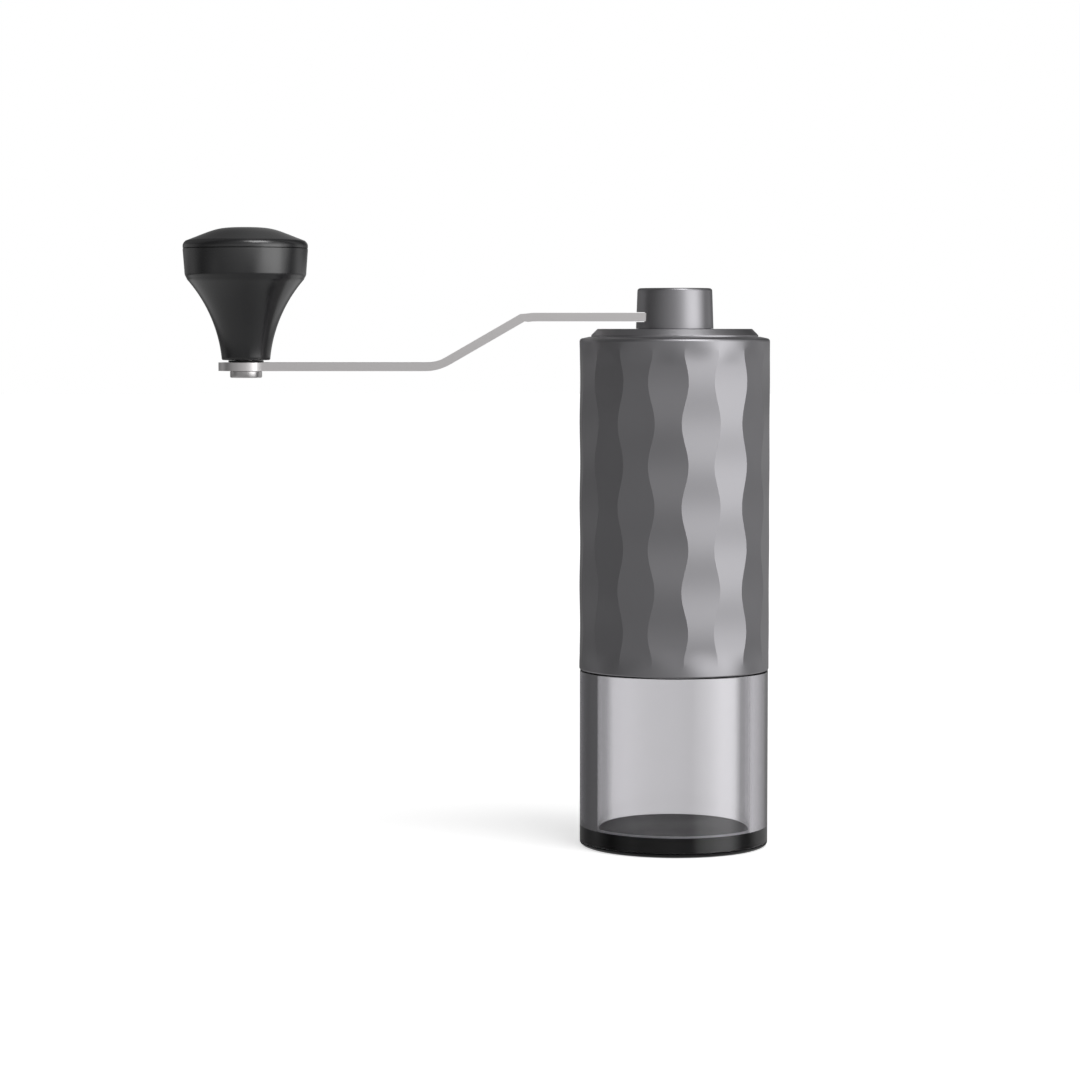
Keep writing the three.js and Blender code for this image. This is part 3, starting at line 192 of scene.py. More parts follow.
# ---------------------------------------------------------------------------
# Catch cup. A thick tube moulded in clear plastic with a light smoke tint. The base
# is pressed into its lower end. Its neck screws into the core and is drawn plain.
# ---------------------------------------------------------------------------
shoulder_z = 48.2 * MM
neck_r = 22.3 * MM
root_r = 21.85 * MM

smoke, tree, principled = shader(
    "smoked_clear", Base_Color=(1.0, 1.0, 1.0, 1), Roughness=0.01, IOR=1.49,
    Transmission_Weight=1.0,
)


def output_of(tree):
    """A material's output node."""
    return next(n for n in tree.nodes if n.type == "OUTPUT_MATERIAL")


tint = node(tree, "VolumeAbsorption", Color=(0.72, 0.705, 0.745, 1), Density=110.0)
tree.links.new(tint, output_of(tree).inputs["Volume"])

cup = finish_mesh("cup_clear_tube", turned([
    (bore_r, cup_low.z), (cup_r, cup_low.z), (cup_r, shoulder_z), (root_r, shoulder_z),
    (root_r, cup_high.z - 0.5 * MM),
    (root_r - 0.3 * MM, cup_high.z), (bore_r, cup_high.z),
], steps=160), "cup", smoke, edge=0.2 * MM)
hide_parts("catch_cup")

# ---------------------------------------------------------------------------
# Body sleeve. A turned aluminium tube with eighteen flats milled up it. Each flat
# moves in and out in a slow wave against its neighbours, so the ridges swing left
# and right. It is bead blasted and anodised gunmetal grey.
# ---------------------------------------------------------------------------
gunmetal, tree, principled = shader("gunmetal", Metallic=1.0)
mottle(tree, principled, (0.36, 0.39), ((0.303, 0.298, 0.313), (0.318, 0.313, 0.328)), 45,
       bump=0.08)

sleeve_low, sleeve_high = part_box("body_sleeve")
body_r = 25.95 * MM
body_bore_r = 24.4 * MM
flutes = 18
flat_step = 2 * math.pi / flutes
flat_distance = body_r * math.cos(flat_step / 2)
wave_length = 22.4 * MM
wave_depth = 0.16 * MM
first_crest_z = sleeve_low.z + 11.75 * MM
first_middle = math.radians(3.97) + flat_step / 2
fade = 7.8 * MM
plain_share = 0.08
facets_per_flat = 8


def flat_out(flute, z):
    """Distance of a flat from the axis at a height."""
    swing = math.cos(2 * math.pi * (z - first_crest_z) / wave_length)
    return flat_distance + (wave_depth if flute % 2 == 0 else -wave_depth) * swing


def ridge(flute, z):
    """Angle of the ridge after a flat, from the flat's middle."""
    ratio = flat_out(flute + 1, z) / flat_out(flute, z)
    return math.atan((ratio - math.cos(flat_step)) / math.sin(flat_step))


def milled(point):
    """Where a point of the plain round sleeve lies once the flats are milled."""
    z = point.z
    from_end = min(z - sleeve_low.z, sleeve_high.z - z)
    t = (from_end - plain_share * fade) / ((1 - plain_share) * fade)
    t = min(max(t, 0.0), 1.0)
    strength = t * t * (3 - 2 * t)
    angle = math.atan2(point.x, -point.y) - first_middle + flat_step / 2
    flute = math.floor(angle / flat_step + 1e-6)
    across = angle / flat_step - flute
    middle = first_middle + flute * flat_step
    start = ridge(flute - 1, z) - flat_step
    cut_angle = start + (ridge(flute, z) - start) * across
    plain_angle = (across - 0.5) * flat_step
    turn = middle + plain_angle + (cut_angle - plain_angle) * strength
    flat_r = flat_out(flute, z) / math.cos(cut_angle)
    r = point.to_2d().length
    r += (flat_r - r) * strength
    return Vector((r * math.sin(turn), -r * math.cos(turn), z))


lip_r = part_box("lid_plate")[1].x + 0.2 * MM
lip_z = sleeve_high.z - 1.3 * MM
skin_low = sleeve_low.z + 0.35 * MM
skin_high = sleeve_high.z - 1.3 * MM
rows = 108
skin = [(body_r, skin_low + (skin_high - skin_low) * i / rows) for i in range(rows + 1)]
sleeve_bm = turned([
    (body_bore_r, sleeve_low.z), (body_r - 0.3 * MM, sleeve_low.z),
    (body_r - 0.09 * MM, sleeve_low.z + 0.1 * MM), *skin,
    (body_r - 0.07 * MM, skin_high + 0.32 * MM), (body_r - 0.24 * MM, skin_high + 0.59 * MM),
    (body_r - 0.50 * MM, skin_high + 0.77 * MM), (body_r - 0.80 * MM, skin_high + 0.87 * MM),
    (lip_r + 0.3 * MM, sleeve_high.z - 0.04 * MM),
    (lip_r, sleeve_high.z - 0.3 * MM), (lip_r, lip_z), (body_bore_r, lip_z),
], steps=flutes * facets_per_flat)


def rotate(bm, angle, axis="Z"):
    """Turns a whole bmesh about an axis through the origin."""
    bmesh.ops.rotate(
        bm, verts=bm.verts, cent=(0, 0, 0), matrix=Matrix.Rotation(angle, 3, axis))


rotate(sleeve_bm, first_middle - flat_step / 2 - math.pi / 2)
for vert in sleeve_bm.verts:
    if vert.co.to_2d().length > body_r - 0.05 * MM:
        vert.co = milled(vert.co)
sleeve = finish_mesh("sleeve_wave_milled", sleeve_bm, "grinder_body", gunmetal)
ridge_crease = math.radians(7)
sleeve.data.set_sharp_from_angle(angle=ridge_crease)
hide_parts("body_sleeve")

# ---------------------------------------------------------------------------
# Inner core. Threaded skirt, burr seat, funnel and hopper wall, moulded in one
# piece of black glass-filled plastic and pressed into the sleeve from below. Its
# three-armed bridge carries the lower bearing.
# ---------------------------------------------------------------------------
def solid_object(bm):
    """A bmesh as a plain object for a boolean."""
    mesh = bpy.data.meshes.new("blank")
    bmesh.ops.recalc_face_normals(bm, faces=bm.faces)
    bm.to_mesh(mesh)
    bm.free()
    blank = bpy.data.objects.new("blank", mesh)
    bpy.context.scene.collection.objects.link(blank)
    return blank


def machined(body, operation, *tools):
    """The body joined with the tools (UNION), cut by them (DIFFERENCE) or cut down to
    what it shares with them (INTERSECT), as a bmesh."""
    target = solid_object(body)
    blanks = [solid_object(tool) for tool in tools]
    for blank in blanks:
        step = target.modifiers.new("step", "BOOLEAN")
        step.operation = operation
        step.solver = "EXACT"
        step.object = blank
    graph = bpy.context.evaluated_depsgraph_get()
    graph.update()
    mesh = bpy.data.meshes.new_from_object(target.evaluated_get(graph))
    result = bmesh.new()
    result.from_mesh(mesh)
    for blank in (target, *blanks):
        bpy.data.meshes.remove(blank.data)
    bpy.data.meshes.remove(mesh)
    return result


def move(bm, step):
    """Shifts a whole bmesh."""
    bmesh.ops.translate(bm, verts=bm.verts, vec=step)


def block(size, centre, angle=0.0):
    """A box of that size, turned about Z after it is moved to its centre."""
    bm = bmesh.new()
    bmesh.ops.create_cube(bm, size=1.0)
    bmesh.ops.scale(bm, verts=bm.verts, vec=size)
    move(bm, centre)
    rotate(bm, angle)
    return bm


def ring(inner, outer, low, high, x=0.0, steps=128):
    """A plain ring between two heights."""
    return turned([(inner, low), (outer, low), (outer, high), (inner, high)], steps, x)


def arms(inner, outer, low, height):
    """Three bars from a bearing's hub to the wall round it."""
    width = 5.0 * MM
    size = (outer - inner, width, height)
    centre = ((outer + inner) / 2, 0.0, low + height / 2)
    return [block(size, centre, math.radians(30 + 120 * i)) for i in range(3)]


black_plastic, tree, principled = shader("black_plastic", Specular_IOR_Level=0.5)
mottle(tree, principled, (0.30, 0.38), ((0.012, 0.012, 0.014), (0.020, 0.020, 0.022)), 90,
       bump=0.12)

core_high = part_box("inner_core")[1]
core_r = core_high.x
seat_r = 20.2 * MM
burr_low, burr_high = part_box("outer_burr")
ledge_z = burr_high.z + 0.2 * MM
hopper_r = core_r - 1.85 * MM
throat_r = 18.4 * MM
skirt_r = neck_r + 0.3 * MM
bearing_low, bearing_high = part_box("lower_bearing_outer")
bearing_seat_r = bearing_high.x + 0.2 * MM
bearing_hub_r = bearing_seat_r + 2.2 * MM
bearing_lip_r = bearing_high.x - 1.3 * MM
core_hub_z = bearing_low.z - 1.2 * MM
arm_root_r = bearing_hub_r - 1 * MM
bearing_rest_z = bearing_low.z - 0.2 * MM
core_wall = turned([
    (skirt_r, sleeve_low.z), (core_r, sleeve_low.z), (core_r, core_high.z),
    (hopper_r, core_high.z), (hopper_r, ledge_z + 10.5 * MM), (throat_r, ledge_z + 1.5 * MM),
    (throat_r, ledge_z), (seat_r, ledge_z), (seat_r, burr_low.z), (skirt_r, burr_low.z),
])
core_hub = turned([
    (bearing_lip_r, core_hub_z), (arm_root_r, core_hub_z),
    (bearing_hub_r, core_hub_z + 1 * MM), (bearing_hub_r, bearing_high.z),
    (bearing_seat_r, bearing_high.z), (bearing_seat_r, bearing_rest_z),
    (bearing_lip_r, bearing_rest_z),
])
core_arms = arms(arm_root_r, hopper_r + 0.6 * MM, core_hub_z, 7 * MM)
core = finish_mesh("core_moulded", machined(
    core_wall, "UNION", core_hub, *core_arms,
), "grinder_body", black_plastic)
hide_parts("inner_core")

# ---------------------------------------------------------------------------
# Cup seal. A flat silicone ring that the neck presses up against the retainer, so
# that no fines creep out through the screw.
# ---------------------------------------------------------------------------
seal_low, seal_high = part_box("cup_seal")
seal = finish_mesh("seal_ring", ring(
    seal_high.x - 1.4 * MM, seal_high.x, seal_low.z, seal_high.z,
), "seal", black_rubber, edge=0.2 * MM)
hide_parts("cup_seal")

# ---------------------------------------------------------------------------
# Burrs and their retainer. Hardened stainless steel, ground to a fine grain. The
# outer burr stands in the core's seat, and a threaded ring holds it up. The inner
# burr slides on the flats of the shaft.
# ---------------------------------------------------------------------------
burr_steel, tree, principled = shader("burr_steel", Metallic=1.0)
mottle(tree, principled, (0.22, 0.34), ((0.40, 0.40, 0.41), (0.50, 0.50, 0.51)), 220,
       bump=0.10, stretch=(1, 1, 6))
satin_steel, tree, principled = shader("satin_steel", Metallic=1.0)
mottle(tree, principled, (0.26, 0.34), ((0.60, 0.585, 0.585), (0.66, 0.645, 0.645)), 70,
       bump=0.06, stretch=(0.15, 1, 1))


def dress(name, material):
    """Gives a CAD node its material."""
    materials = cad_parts[name].data.materials
    materials.clear()
    materials.append(material)


dress("outer_burr", burr_steel)
dress("inner_burr", burr_steel)

retainer_low, retainer_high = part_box("burr_retainer")
retainer_r = retainer_high.x
retainer_bore_r = retainer_r - 3.3 * MM
notch = (3 * MM, 2.4 * MM, 2.4 * MM)
notches = [
    block(notch, (retainer_bore_r + 0.2 * MM, 0, retainer_low.z), math.radians(90 * i))
    for i in range(4)
]
retainer = finish_mesh("retainer_ring", machined(
    ring(retainer_bore_r, retainer_r, retainer_low.z, retainer_high.z), "DIFFERENCE", *notches,
), "grinder_body", satin_steel, edge=0.12 * MM)
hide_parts("burr_retainer")

# ---------------------------------------------------------------------------
# Ball bearings, 8 x 16 x 5 mm. The outer race is pressed into its seat and carries
# the two shields. The inner race sits on the shaft.
# ---------------------------------------------------------------------------
shaft_r = 4.0 * MM
race_r = shaft_r + 0.1 * MM
race_wall = 1.5 * MM
for place in ("lower", "upper"):
    low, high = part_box(f"{place}_bearing_outer")
    inner_race = finish_mesh(f"{place}_race_inner", ring(
        race_r, race_r + race_wall, low.z, high.z, steps=96,
    ), "shaft", burr_steel, edge=0.25 * MM)
    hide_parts(f"{place}_bearing_inner")
    r, shield_r = high.x, race_r + race_wall + 0.3 * MM
    step_r, dip, shield_back = r - 1.0 * MM, 0.25 * MM, 0.6 * MM
    outer_race = finish_mesh(f"{place}_race_outer", turned([
        (shield_r, low.z + dip), (step_r, low.z + dip), (step_r + 0.1 * MM, low.z),
        (r, low.z), (r, high.z), (step_r + 0.1 * MM, high.z), (step_r, high.z - dip),
        (shield_r, high.z - dip), (shield_r, high.z - shield_back),
        (step_r, high.z - shield_back), (step_r, low.z + shield_back),
        (shield_r, low.z + shield_back),
    ], steps=96), "grinder_body", burr_steel, edge=0.12 * MM)
    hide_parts(f"{place}_bearing_outer")

# ---------------------------------------------------------------------------
# Upper bracket. A black moulded ring under the sleeve's lip. The lid lands on it,
# and its three arms carry the upper bearing over the hopper.
# ---------------------------------------------------------------------------
bracket_low, bracket_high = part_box("upper_bracket")
bracket_bore_r = bracket_high.x - 3.5 * MM
upper_low, upper_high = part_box("upper_bearing_outer")
upper_rest_z = upper_low.z - 0.2 * MM
bevel = 0.4 * MM
bracket_ring = turned([
    (bracket_bore_r, bracket_low.z), (bracket_high.x, bracket_low.z),
    (bracket_high.x, bracket_high.z), (bracket_bore_r + bevel, bracket_high.z),
    (bracket_bore_r, bracket_high.z - bevel),
])
bracket_hub = turned([
    (bearing_lip_r, bracket_low.z), (bearing_hub_r, bracket_low.z),
    (bearing_hub_r, upper_high.z - bevel), (bearing_hub_r - bevel, upper_high.z),
    (bearing_seat_r, upper_high.z), (bearing_seat_r, upper_rest_z),
    (bearing_lip_r, upper_rest_z),
])
bracket_arms = arms(arm_root_r, bracket_bore_r + 0.6 * MM, bracket_low.z, 3.6 * MM)
bracket = finish_mesh("bracket_moulded", machined(
    bracket_ring, "UNION", bracket_hub, *bracket_arms,
), "grinder_body", black_plastic)
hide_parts("upper_bracket")

# ---------------------------------------------------------------------------
# Drive shaft. Ground stainless bar: a threaded stud below, two flats for the burr,
# a collar over the lower bearing and a hexagon above for the crank. A circlip under
# the lower bearing keeps it from being drawn up.
# ---------------------------------------------------------------------------
shaft_low, shaft_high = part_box("drive_shaft")
plate_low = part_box("click_plate")[0]
burr_top_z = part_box("inner_burr")[1].z
circlip_low, circlip_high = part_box("shaft_circlip")
collar_r = shaft_high.x
collar_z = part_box("lower_bearing_inner")[1].z + 0.2 * MM
socket_low, socket_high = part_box("drive_socket")
hex_z = socket_low.z - 0.3 * MM
stud_r = 3.0 * MM
stud_top = plate_low.z + 1.6 * MM
pitch = 0.75 * MM


def hexagon(across, low, high):
    """A hexagonal bar with two corners on X."""
    bm = bmesh.new()
    point_r = across / math.sqrt(3)
    bmesh.ops.create_cone(
        bm, cap_ends=True, segments=6, radius1=point_r, radius2=point_r, depth=high - low)
    rotate(bm, math.pi / 6)
    move(bm, (0, 0, (low + high) / 2))
    return bm


def thread(crest, root, low, high, pitch):
    """Outline rows of a fine thread drawn as closed grooves."""
    turns = int((high - low) / pitch)
    rows = []
    for i in range(turns):
        z = low + i * pitch
        rows += [(crest, z), (crest, z + 0.3 * pitch), (root, z + 0.65 * pitch)]
    return rows + [(crest, low + turns * pitch)]


def clip_groove(outer, root, low, high):
    """Outline rows of the groove that a clip sits in, a little wider than the clip."""
    low, high = low - 0.1 * MM, high + 0.1 * MM
    return [(outer, low), (root, low), (root, high), (outer, high)]


groove_r = shaft_r - 0.6 * MM
collar_top = collar_z + 1.8 * MM
shaft_stem = turned([
    (0.0, shaft_low.z), (stud_r - 0.5 * MM, shaft_low.z),
    *thread(stud_r, stud_r - 0.35 * MM, shaft_low.z + 0.5 * MM, stud_top, pitch),
    (stud_r, stud_top), (shaft_r, stud_top),
    *clip_groove(shaft_r, groove_r, circlip_low.z, circlip_high.z),
    (shaft_r, collar_z), (collar_r, collar_z), (collar_r, collar_top), (shaft_r, collar_top),
    (shaft_r, hex_z), (0.0, hex_z),
], steps=96)
flat_high = burr_top_z + 2.1 * MM
half_across = 3.35 * MM
flats = [
    block((shaft_r, 4 * shaft_r, flat_high - stud_top),
          (side * (half_across + shaft_r / 2), 0, (flat_high + stud_top) / 2))
    for side in (1, -1)
]
nose_r = shaft_r + 0.24 * MM
shaft_nose = turned([
    (0.0, hex_z - 1 * MM), (nose_r, hex_z - 1 * MM), (nose_r, shaft_high.z - 1 * MM),
    (shaft_r - 0.76 * MM, shaft_high.z), (0.0, shaft_high.z),
], steps=96)
shaft_hex = machined(hexagon(7 * MM, hex_z - 0.5 * MM, shaft_high.z), "INTERSECT", shaft_nose)
shaft_body = machined(machined(shaft_stem, "DIFFERENCE", *flats), "UNION", shaft_hex)
shaft = finish_mesh("shaft_ground", shaft_body, "shaft", satin_steel)
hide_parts("drive_shaft")

spring_steel, tree, principled = shader("spring_steel", Metallic=1.0)
mottle(tree, principled, (0.25, 0.40), ((0.34, 0.35, 0.37), (0.42, 0.43, 0.45)), 300)


def snap_ring(inner, outer, low, high):
    """A ring with a gap, as punched retaining clips have."""
    gap = block((outer, inner, 4 * (high - low)), (inner + outer / 2, 0, (low + high) / 2))
    return machined(ring(inner, outer, low, high, steps=96), "DIFFERENCE", gap)


circlip = finish_mesh("circlip_punched", snap_ring(
    groove_r + 0.1 * MM, circlip_high.y, circlip_low.z, circlip_high.z,
), "shaft", spring_steel, edge=0.08 * MM)
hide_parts("shaft_circlip")

# ---------------------------------------------------------------------------
# Burr spring and its washer. Round spring wire between the washer, under the
# circlip, and the top of the inner burr, which it pushes down on to the dial.
# ---------------------------------------------------------------------------
washer_low, washer_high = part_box("spring_washer")
spring_washer = finish_mesh("washer_ground", ring(
    shaft_r + 0.2 * MM, washer_high.x, washer_low.z, washer_high.z, steps=96,
), "shaft", satin_steel, edge=0.12 * MM)
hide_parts("spring_washer")


def coil(radius, wire, turns, low, high, x=0.0, sides=10, steps=32):
    """A helix of round wire between two heights."""
    bm = bmesh.new()
    bmesh.ops.create_circle(bm, cap_ends=False, segments=sides, radius=wire / 2)
    rotate(bm, math.pi / 2, "X")
    move(bm, (radius, 0, 0))
    rise = (high - low - wire) / (turns * steps)
    bmesh.ops.spin(
        bm, geom=bm.verts[:] + bm.edges[:], cent=(0, 0, 0), axis=(0, 0, 1),
        dvec=(0, 0, rise), angle=2 * math.pi * turns, steps=turns * steps,
    )
    bmesh.ops.holes_fill(bm, edges=[e for e in bm.edges if e.is_boundary], sides=sides)
    move(bm, (x, 0, low + wire / 2))
    return bm


spring_wire = 1.1 * MM
burr_spring = finish_mesh("spring_wound", coil(
    shaft_r + spring_wire / 2 + 0.4 * MM, spring_wire, 5, burr_top_z + 0.2 * MM,
    washer_low.z - 0.2 * MM,
), "shaft", spring_steel)
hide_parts("burr_spring")
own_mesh(burr_spring)

# ---------------------------------------------------------------------------
# Click plate, dial and detents. The plate is keyed to the shaft and has radial
# grooves underneath. The dial is a nut of black anodised aluminium with scallops for
# the fingers and plain numbers; two sprung balls in it ride on the plate.
# ---------------------------------------------------------------------------
dress("click_plate", satin_steel)
black_anodised, tree, principled = shader("black_anodised", Metallic=1.0)
mottle(tree, principled, (0.34, 0.42), ((0.030, 0.030, 0.033), (0.042, 0.042, 0.045)), 80,
       bump=0.10)

dial_low, dial_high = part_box("adjusting_dial")
dial_r = 15.0 * MM
grips = 12
ball_r = 1.0 * MM
click_r = 11.0 * MM
pocket_low = dial_low.z + 1.2 * MM


def scalloped(bm, radius, count, depth):
    """Presses round finger grooves into the rim of a turned blank."""
    rim_width, roundness = 1.2 * MM, 1.5
    for vert in bm.verts:
        r = vert.co.to_2d().length
        if r > radius - rim_width:
            wave = math.cos(count * math.atan2(vert.co.y, vert.co.x))
            dip = depth * max(wave, 0.0) ** roundness
            vert.co.x *= 1 - dip / r
            vert.co.y *= 1 - dip / r
    return bm


def round_bar(radius, low, high, x=0.0, steps=64):
    """A plain round bar, to cut a bore with."""
    bm = turned([(0.0, low), (radius, low), (radius, high), (0.0, high)], steps)
    move(bm, (x, 0, 0))
    return bm


dial_blank = scalloped(turned([
    (0.0, dial_low.z), (dial_r - 1.2 * MM, dial_low.z), (dial_r - 0.4 * MM, dial_low.z + 0.5 * MM),
    (dial_r, dial_low.z + 1.2 * MM), (dial_r, dial_high.z - 0.4 * MM),
    (dial_r - 0.4 * MM, dial_high.z), (0.0, dial_high.z),
], steps=192), dial_r, grips, 0.8 * MM)
dial_recess = turned([
    (0.0, dial_low.z - 1 * MM), (6.4 * MM, dial_low.z - 1 * MM), (6.4 * MM, dial_low.z),
    (5.2 * MM, dial_low.z + 1.2 * MM), (0.0, dial_low.z + 1.2 * MM),
])
dial_cuts = [
    round_bar(stud_r + 0.3 * MM, dial_low.z - 1 * MM, dial_high.z + 1 * MM), dial_recess,
    *(round_bar(ball_r + 0.2 * MM, pocket_low, dial_high.z + 1 * MM, x=side * click_r, steps=32)
      for side in (1, -1)),
]
dial = finish_mesh("dial_nut", machined(dial_blank, "DIFFERENCE", *dial_cuts),
                   "dial", black_anodised)
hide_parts("adjusting_dial")

paint, tree, principled = shader("number_paint", Base_Color=(0.75, 0.75, 0.75, 1), Roughness=0.5)
mottle(tree, principled, (0.45, 0.60), ((0.66, 0.66, 0.66), (0.78, 0.78, 0.78)), 900)
number_r = 10.2 * MM
for number in range(grips):
    curve = bpy.data.curves.new(f"number_{number}", "FONT")
    curve.body = str(number)
    curve.size = 3.0 * MM
    curve.extrude = 0.03 * MM
    curve.align_x = "CENTER"
    curve.align_y = "CENTER"
    number_angle = 2 * math.pi * (number + 0.5) / grips
    text = bpy.data.objects.new("number", curve)
    mesh = bpy.data.meshes.new_from_object(text)
    bpy.data.objects.remove(text)
    bpy.data.curves.remove(curve)
    number_x = number_r * math.cos(number_angle)
    number_y = number_r * math.sin(number_angle)
    mesh.transform(
        Matrix.Translation((number_x, number_y, dial_low.z))
        @ Matrix.Rotation(number_angle - math.pi / 2, 4, "Z") @ Matrix.Rotation(math.pi, 4, "Y")
    )
    digits = bmesh.new()
    digits.from_mesh(mesh)
    bpy.data.meshes.remove(mesh)
    finish_mesh(f"dial_number_{number}", digits, "dial", paint)

for i, side in enumerate((1, -1), 1):
    ball_low, ball_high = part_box(f"detent_ball_{i}")
    ball_bm = bmesh.new()
    bmesh.ops.create_uvsphere(ball_bm, u_segments=32, v_segments=16, radius=ball_r)
    move(ball_bm, (ball_low + ball_high) / 2)
    ball = finish_mesh(f"ball_{i}", ball_bm, "dial", burr_steel)
    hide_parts(f"detent_ball_{i}")
    coil_low, coil_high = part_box(f"detent_spring_{i}")
    ball_spring = finish_mesh(f"ball_spring_{i}", coil(
        ball_r - 0.35 * MM, 0.35 * MM, 3, coil_low.z, coil_high.z, x=side * click_r,
        sides=8, steps=20,
    ), "dial", spring_steel)
    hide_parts(f"detent_spring_{i}")

# ---------------------------------------------------------------------------
# Lid. A turned aluminium plate with a chamfered edge, anodised like the body. Its
# low ring runs in the hub's groove. A black liner holds the O-ring that grips the
# bracket, and the crank turns in a white acetal bush.
# ---------------------------------------------------------------------------
lid_low, lid_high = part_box("lid_plate")
bush_low, bush_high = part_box("lid_bush")
bush_bore_r = socket_high.x + 0.3 * MM
bush_r = bush_bore_r + 1.3 * MM
lid_bore_r = bush_r + 0.2 * MM
lid_top = bush_high.z
ring_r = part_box("crank_hub")[1].x - 0.7 * MM
ring_bore_r = ring_r - 1.2 * MM
chamfer = 1.7 * MM
lid = finish_mesh("lid_turned", turned([
    (lid_bore_r, lid_low.z), (lid_high.x, lid_low.z), (lid_high.x, lid_top - chamfer),
    (lid_high.x - chamfer, lid_top), (ring_r, lid_top), (ring_r, lid_high.z),
    (ring_bore_r, lid_high.z), (ring_bore_r, lid_top), (lid_bore_r, lid_top),
], steps=160), "lid", gunmetal, edge=0.12 * MM)
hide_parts("lid_plate")

liner_low, liner_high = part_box("lid_liner")
oring_low, oring_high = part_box("lid_oring")
oring_r = 0.75 * MM
oring_mid = oring_high.x - oring_r
oring_z = (oring_low.z + oring_high.z) / 2
groove_in = oring_mid - oring_r - 0.2 * MM
groove_half = oring_r + 0.2 * MM
liner_bore_r = 12.2 * MM
liner = finish_mesh("liner_moulded", turned([
    (liner_bore_r, liner_low.z), (liner_high.x - 0.4 * MM, liner_low.z),
    (liner_high.x, liner_low.z + 0.4 * MM), (liner_high.x, oring_z - groove_half),
    (groove_in, oring_z - groove_half), (groove_in, oring_z + groove_half),
    (liner_high.x, oring_z + groove_half), (liner_high.x, liner_high.z),
    (liner_bore_r, liner_high.z),
]), "lid", black_plastic, edge=0.1 * MM)
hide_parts("lid_liner")

oring_bm = bmesh.new()
bmesh.ops.create_circle(oring_bm, segments=16, radius=oring_r)
rotate(oring_bm, math.pi / 2, "X")
move(oring_bm, (oring_mid, 0, oring_z))
bmesh.ops.spin(
    oring_bm, geom=oring_bm.verts[:] + oring_bm.edges[:], cent=(0, 0, 0), axis=(0, 0, 1),
    angle=2 * math.pi, steps=128, use_merge=True,
)
oring = finish_mesh("oring_lid", oring_bm, "lid", black_rubber)
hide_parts("lid_oring")

acetal, tree, principled = shader("acetal", Specular_IOR_Level=0.5)
mottle(tree, principled, (0.38, 0.46), ((0.70, 0.70, 0.67), (0.76, 0.76, 0.73)), 120)
flange_high = bush_low.z + 1.0 * MM
bush = finish_mesh("bush_acetal", turned([
    (bush_bore_r, bush_low.z), (bush_high.x, bush_low.z), (bush_high.x, flange_high),
    (bush_r, flange_high), (bush_r, bush_high.z), (bush_bore_r, bush_high.z),
], steps=96), "lid", acetal, edge=0.12 * MM)
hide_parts("lid_bush")

# ---------------------------------------------------------------------------
# Crank hub. A turned aluminium cap, anodised like the body, with a slot milled from
# the side for the arm. The steel socket is pressed up through the arm into the cap,
# drops over the shaft's hexagon, and keeps the lid on by a clip.
# ---------------------------------------------------------------------------
hub_low, hub_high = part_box("crank_hub")
arm_low, arm_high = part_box("crank_arm")
arm_thickness = 2.28 * MM
arm_half = 6.5 * MM
arm_z = arm_high.z - arm_thickness
slot_r = arm_half + 0.2 * MM
slot_low, slot_high = arm_z - 0.2 * MM, arm_high.z + 0.2 * MM
hub_top_r = hub_high.x - 0.35 * MM
hub_corner = 0.8 * MM
corner = [math.radians(15 * i) for i in range(7)]
hub_foot = hub_low.z - 0.15 * MM
hub_blank = turned([
    (0.0, hub_foot), (hub_high.x - 0.05 * MM, hub_foot), (hub_high.x, hub_foot + 0.05 * MM),
    *((hub_top_r - hub_corner * (1 - math.cos(a)), hub_high.z - hub_corner * (1 - math.sin(a)))
      for a in corner),
    (0.0, hub_high.z),
], steps=160)
below_hub = hub_low.z - 1 * MM
socket_bore_r, neck_bore_r = socket_high.x + 0.2 * MM, 5.2 * MM
bore_top = socket_high.z + 0.2 * MM
hub_bores = turned([
    (0.0, below_hub), (socket_bore_r, below_hub), (socket_bore_r, arm_z),
    (neck_bore_r, arm_z), (neck_bore_r, bore_top), (0.0, bore_top),
])
hub_slot = machined(
    round_bar(slot_r, slot_low, slot_high), "UNION",
    block((2 * hub_high.x, 2 * slot_r, slot_high - slot_low),
          (-hub_high.x, 0, (slot_low + slot_high) / 2)),
)
hub_groove = ring(ring_bore_r - 0.2 * MM, ring_r + 0.2 * MM, below_hub, lid_high.z + 0.2 * MM)
hub = finish_mesh("hub_turned", machined(
    hub_blank, "DIFFERENCE", hub_bores, hub_slot, hub_groove,
), "crank", gunmetal)
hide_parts("crank_hub")

clip_low, clip_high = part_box("socket_clip")
clip_groove_r = socket_high.x - 0.6 * MM
socket_blank = turned([
    (0.0, socket_low.z), (socket_high.x - 0.2 * MM, socket_low.z),
    (socket_high.x, socket_low.z + 0.2 * MM),
    *clip_groove(socket_high.x, clip_groove_r, clip_low.z, clip_high.z),
    (socket_high.x, slot_low), (5 * MM, slot_low),
    (5 * MM, socket_high.z - 0.3 * MM), (4.7 * MM, socket_high.z), (0.0, socket_high.z),
], steps=96)
socket_bore = hexagon(7.4 * MM, socket_low.z - 1 * MM, shaft_high.z + 0.3 * MM)
socket = finish_mesh("socket_steel", machined(socket_blank, "DIFFERENCE", socket_bore),
                     "crank", satin_steel)
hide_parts("drive_socket")

socket_clip = finish_mesh("clip_punched", snap_ring(
    clip_groove_r + 0.1 * MM, clip_high.y, clip_low.z, clip_high.z,
), "crank", spring_steel, edge=0.08 * MM)
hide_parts("socket_clip")

# ---------------------------------------------------------------------------
# Crank arm. Stainless strip with a round eye, bent twice on an easy radius. Its
# edges are tumbled soft and its faces have a fine even satin.
# ---------------------------------------------------------------------------
arm_steel, tree, principled = shader("arm_steel", Metallic=1.0)
mottle(tree, principled, (0.30, 0.36), ((0.69, 0.67, 0.67), (0.73, 0.71, 0.71)), 60, bump=0.06)

